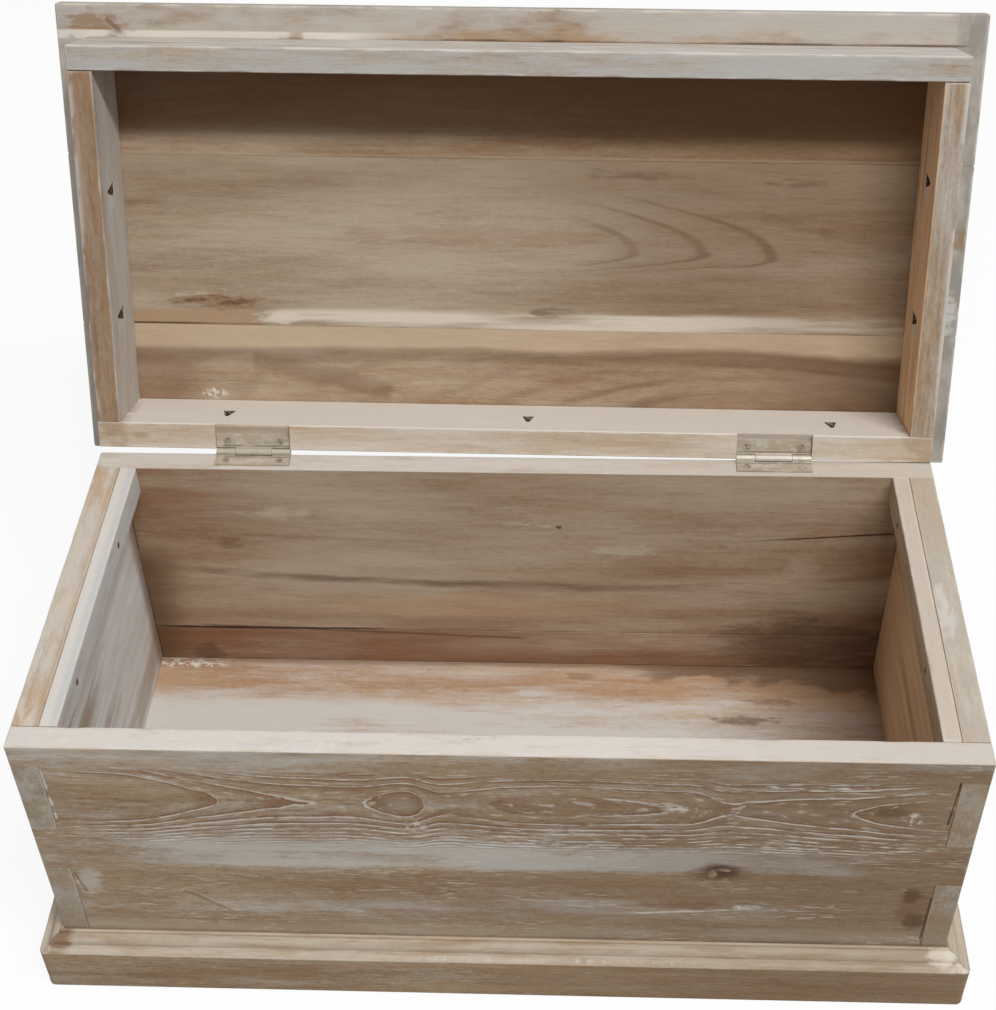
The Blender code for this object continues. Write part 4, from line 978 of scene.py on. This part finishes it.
for side, seed, sign, coat, outer_coat, brown, pale, pockets in (
    ("left", 94.8, -1, 0.72, 0.18, (134, 104, 76), (180, 156, 130), (LID_FRONT + 0.117, LID_BACK - 0.107)),
    ("right", 97.1, 1, 0.22, 0.36, (140, 113, 86), (174, 152, 125), (LID_FRONT + 0.100, LID_BACK - 0.114)),
):
    rail = Timber(f"lid {side} rail", tuple(HINGE), SIDE_EULER, seed, brown, pale)
    # Turned, x is the lid's depth, -y is its length and z its height.
    x, y, z = rail.axes
    foot = z.fall(LID_FOOT + 0.0004, LID_FOOT + 0.0014)
    inner = abs(y).fall(HALF - RAIL_THICK + 0.0004, HALF - RAIL_THICK + 0.0014)
    rail.wash((198, 195, 190), inner * coat + (1 - inner) * outer_coat, 6, 40, 0.85, 0.7)
    if side == "left":
        rail.lay(foot * rail.patches(4, 40, 1.4, 0.34, 0.6, 4.0) * 0.4, (150, 118, 88))
        flakes = abs(y).rise(HALF - 0.006, HALF - 0.001) * rail.patches(26, 60, 6.4, 0.46, 0.58, 4.0)
        rail.lay(flakes * 0.7, (214, 208, 198))
        rail.lay(foot * 0.25, (128, 98, 70))
    else:
        flakes = abs(y).rise(HALF - 0.005, HALF - 0.001) * rail.patches(30, 60, 6.4, 0.40, 0.52, 4.0)
        rail.lay(flakes * 0.7, (210, 205, 196))
        rail.lay(inner * (0.72 + rail.noise(4, 40, 1.4, 4.0) * 0.4), (236, 193, 152))
        rail.lay(inner * rail.patches(12, 90, 5.3, 0.48, 0.64, 5.0, 0.66) * 0.45, (150, 112, 80))
    sides = (-HALF, -HALF + RAIL_THICK) if sign > 0 else (HALF - RAIL_THICK, HALF)
    shell = (SIDE_RAIL_START, sides[0], LID_FOOT), (SIDE_RAIL_END, sides[1], RAIL_TOP)
    rail.worn(*shell, (202, 192, 178), 0.0022, 0.65)
    for at in pockets:
        scuff_at = (at + 0.009, LID_FOOT + POCKET_SHELF - 0.010)
        rail.spots(inner, (scuff_at, (0.008, 0.010), (208, 203, 196), 0.6, 1.0))
    darken_pockets(rail, abs(y) - (HALF - RAIL_THICK), x + 0.15)
    notches = [(-sign * (at - SIDE_RAIL_MIDDLE), *POCKET) for at in pockets]
    sizes = (SIDE_RAIL_HALF, RAIL_TALL, RAIL_THICK)
    points, faces = worn_board(*sizes, RAIL_WORN, SAWN, int(seed), pockets=notches)
    corner = (sign * HALF, SIDE_RAIL_MIDDLE, LID_FOOT)
    points = set_down(points, corner, (0, -sign, 0), (0, 0, 1), (-sign, 0, 0))
    add(f"washed_{side}_rail", lift(points), faces, rail.finish(), "lid", "washed_timber", f"lid_{side}_rail")

rail = Timber("lid back rail", tuple(HINGE), LID_EULER, 99.4, (178, 152, 122), (206, 186, 160), 0.6, "xy")
x, y, _ = rail.axes
inner = y.fall(BACK_RAIL_INNER + 0.0003, BACK_RAIL_INNER + 0.0012)
rail.wash((220, 213, 203), 0.46 + inner * 0.55, 6, 50, 0.88, 0.8)
rail.lay(inner * (0.20 + rail.noise(14, 90, 5.7, 5.0, 0.66) * 0.5), (232, 226, 216))
rail.worn((-HALF, BACK_RAIL_INNER, LID_FOOT), (HALF, LID_BACK, RAIL_TOP), (224, 216, 204))
darken_pockets(rail, y - BACK_RAIL_INNER, x)
rail.lay(abs(x).rise(HALF - 0.030, HALF - 0.018) * rail.patches(30, 60, 4.1, 0.36, 0.56) * 0.5, TEAK)
rail.spots(1, ((-0.314, LID_BACK - 0.011), (0.010, 0.004), (170, 150, 124), 0.8, 0.5))
dress("lid_back_rail", rail.finish())

for node in frame["nodes"]:
    if "_rail_screw_" in node:
        dress(node, nail_iron)

# Hinges. Stock steel butts, let into the rim and the lid's back rail and painted over with the wash, which
# has worn off the barrels. Each leaf is held by two slotted screws.
BARREL = 0.0047  # a little over the knuckles' radius
UNDERCOAT = 0.82  # shade of the paint in its hollows


def painted_steel(name, coat, bare, seed, chipped, metal):
    """Steel under thin paint, which wears off in small chips, and off the barrel, where the metal shines."""
    steel = Timber(name, SQUARE, SQUARE, seed, coat, coat, shade=UNDERCOAT)
    _, y, z = steel.axes
    from_pin = ((y - HINGE[1]) ** 2 + (z - HINGE[2]) ** 2) ** 0.5
    barrel = from_pin.fall(BARREL - 0.0006, BARREL)
    chips = steel.patches(120, 120, seed + 3, 0.66 - chipped * 0.2, 0.76 - chipped * 0.2, 4.0)
    shining = barrel.most(chips * 0.7) * metal
    steel.lay(shining, bare)
    steel.lay(steel.patches(70, 120, seed + 6, 0.50, 0.62, 4.0, 0.65) * (1 - barrel) * 0.45, (212, 206, 197))
    steel.lay(steel.patches(60, 60, seed + 8, 0.52, 0.66, 4.0, 0.65) * 0.40, (150, 122, 92))
    steel.lay(steel.patches(260, 260, seed + 9, 0.62, 0.76) * 0.45, (122, 98, 74))
    dirt = from_pin.between(BARREL, BARREL + 0.0008, 0.0006) * steel.patches(80, 80, seed + 4, 0.3, 0.5)
    steel.lay(dirt * 0.55, (96, 72, 50))
    material = steel.finish(0.62, 0.5)
    tree = material.node_tree
    tree.links.new((shining * 0.8).socket, tree.nodes["Principled BSDF"].inputs["Metallic"])
    return material


left_leaf = painted_steel("washed left hinge", (190, 177, 156), (200, 194, 184), 15.5, 0.2, 0.3)
right_leaf = painted_steel("worn right hinge", (184, 171, 150), (206, 200, 190), 18.5, 0.3, 0.8)
pin_steel = painted_steel("hinge pin", (150, 132, 112), (170, 165, 156), 12.5, 0.5, 0.8)
screw_steel = painted_steel("slotted screw", (160, 152, 140), (140, 136, 130), 13.5, 0.6, 0.6)
for side, leaf in (("left", left_leaf), ("right", right_leaf)):
    for owner in ("box", "lid"):
        dress(f"{side}_hinge_{owner}_leaf", leaf)
        for where in ("left", "right"):
            dress(f"{side}_hinge_{owner}_screw_{where}", screw_steel)
    dress(f"{side}_hinge_pin", pin_steel)

# Studio. A plain floor that looks white and keeps a faint shadow, an even white world, and one long soft
# lamp above, to the front and right, hung along the trunk's length.
STUDIO_REACH = 12.0
FLOOR_BOUNCE, FLOOR_SEEN, FLOOR_GLOW = 0.42, 0.95, 0.90
WORLD_LEVEL = 0.36
KEY_FROM = np.array([0.34, -0.44, 1.0])
KEY_FAR, KEY_LONG, KEY_WIDE, KEY_LEVEL = 5.0, 3.0, 0.5, 0.76
KEY_AIM = np.array([0.0, -0.05, 0.25])

mesh = bpy.data.meshes.new("studio_floor")
corners = np.array([(-1, -1, 0), (1, -1, 0), (1, 1, 0), (-1, 1, 0)]) * STUDIO_REACH
mesh.from_pydata(corners.tolist(), [], [(0, 1, 2, 3)])
studio_floor = bpy.data.objects.new("studio_floor", mesh)
bpy.context.scene.collection.objects.link(studio_floor)


def seen(tree):
    """1 for the rays that show the studio itself: to the camera, in a reflection or through glass."""
    path = tree.nodes.new("ShaderNodeLightPath")
    kinds = ("Camera", "Glossy", "Transmission")
    camera, glossy, clear = (Field(tree, path.outputs[f"Is {kind} Ray"]) for kind in kinds)
    return camera.most(glossy).most(clear)


material = bpy.data.materials.new("studio floor")
material.use_nodes = True
tree = material.node_tree
shader = tree.nodes["Principled BSDF"]
shader.inputs["Roughness"].default_value = 0.9
shader.inputs["Specular IOR Level"].default_value = 0.0
shown = seen(tree)
bounce, white = ((level, level, level, 1.0) for level in (FLOOR_BOUNCE, FLOOR_SEEN))
tree.links.new(shown.over(bounce, white).socket, shader.inputs["Base Color"])
glow = shown.node("Emission", {}, {"Strength": 1.0})
lit = shown.node("MixShader", {}, {0: shown * FLOOR_GLOW, 1: Field(tree, shader.outputs[0]), 2: glow})
tree.links.new(lit.socket, tree.nodes["Material Output"].inputs["Surface"])
mesh.materials.append(material)

world = bpy.data.worlds.new("studio")
bpy.context.scene.world = world
world.use_nodes = True
tree = world.node_tree
tree.nodes["Background"].inputs["Color"].default_value = (1.0, 1.0, 1.0, 1.0)
strength = seen(tree) * (1 - WORLD_LEVEL) + WORLD_LEVEL
tree.links.new(strength.socket, tree.nodes["Background"].inputs["Strength"])

lamp = bpy.data.lights.new("key", "AREA")
lamp.shape, lamp.size, lamp.size_y = "RECTANGLE", KEY_LONG, KEY_WIDE
lamp.energy = math.pi**2 * KEY_FAR**2 * KEY_LEVEL
key = bpy.data.objects.new("key", lamp)
bpy.context.scene.collection.objects.link(key)
direction = KEY_FROM / np.linalg.norm(KEY_FROM)
sideways = np.array([1.0, 0.0, 0.0]) - direction[0] * direction
sideways = sideways / np.linalg.norm(sideways)
key.rotation_euler = Matrix(np.stack([sideways, np.cross(direction, sideways), direction], 1)).to_euler()
key.location = KEY_AIM + direction * KEY_FAR

# Camera. In front of the trunk and above it, looking down as the photograph does. The shift and lens are in
# shares of the image's longer side.
IMAGE_WIDE, IMAGE_TALL = 996, 1010
EYE = (0.05405, -1.03162, 1.19692)
PITCH, YAW, ROLL = math.radians(43.500), math.radians(-2.464), math.radians(-0.882)
FOCAL = 1699.04  # in pixels
SIGHT_AT = (523.69, 563.67)  # the pixel straight ahead
right = np.array([math.cos(YAW), -math.sin(YAW), 0])
ahead = np.array([math.sin(YAW), math.cos(YAW), 0])
up = math.sin(PITCH) * ahead + math.cos(PITCH) * np.array([0, 0, 1])
sight = math.cos(PITCH) * ahead - math.sin(PITCH) * np.array([0, 0, 1])
right, up = math.cos(ROLL) * right + math.sin(ROLL) * up, math.cos(ROLL) * up - math.sin(ROLL) * right
camera = bpy.data.objects.new("camera", bpy.data.cameras.new("camera"))
bpy.context.scene.collection.objects.link(camera)
view = np.eye(4)
view[:3, :4] = np.stack([right, up, -sight, np.array(EYE)], axis=1)
camera.matrix_world = Matrix(view)
camera.data.lens = FOCAL * camera.data.sensor_width / IMAGE_TALL
camera.data.shift_x = -(SIGHT_AT[0] - IMAGE_WIDE / 2) / IMAGE_TALL
camera.data.shift_y = (SIGHT_AT[1] - IMAGE_TALL / 2) / IMAGE_TALL
bpy.context.scene.camera = camera
bpy.context.scene.view_settings.view_transform = "Standard"
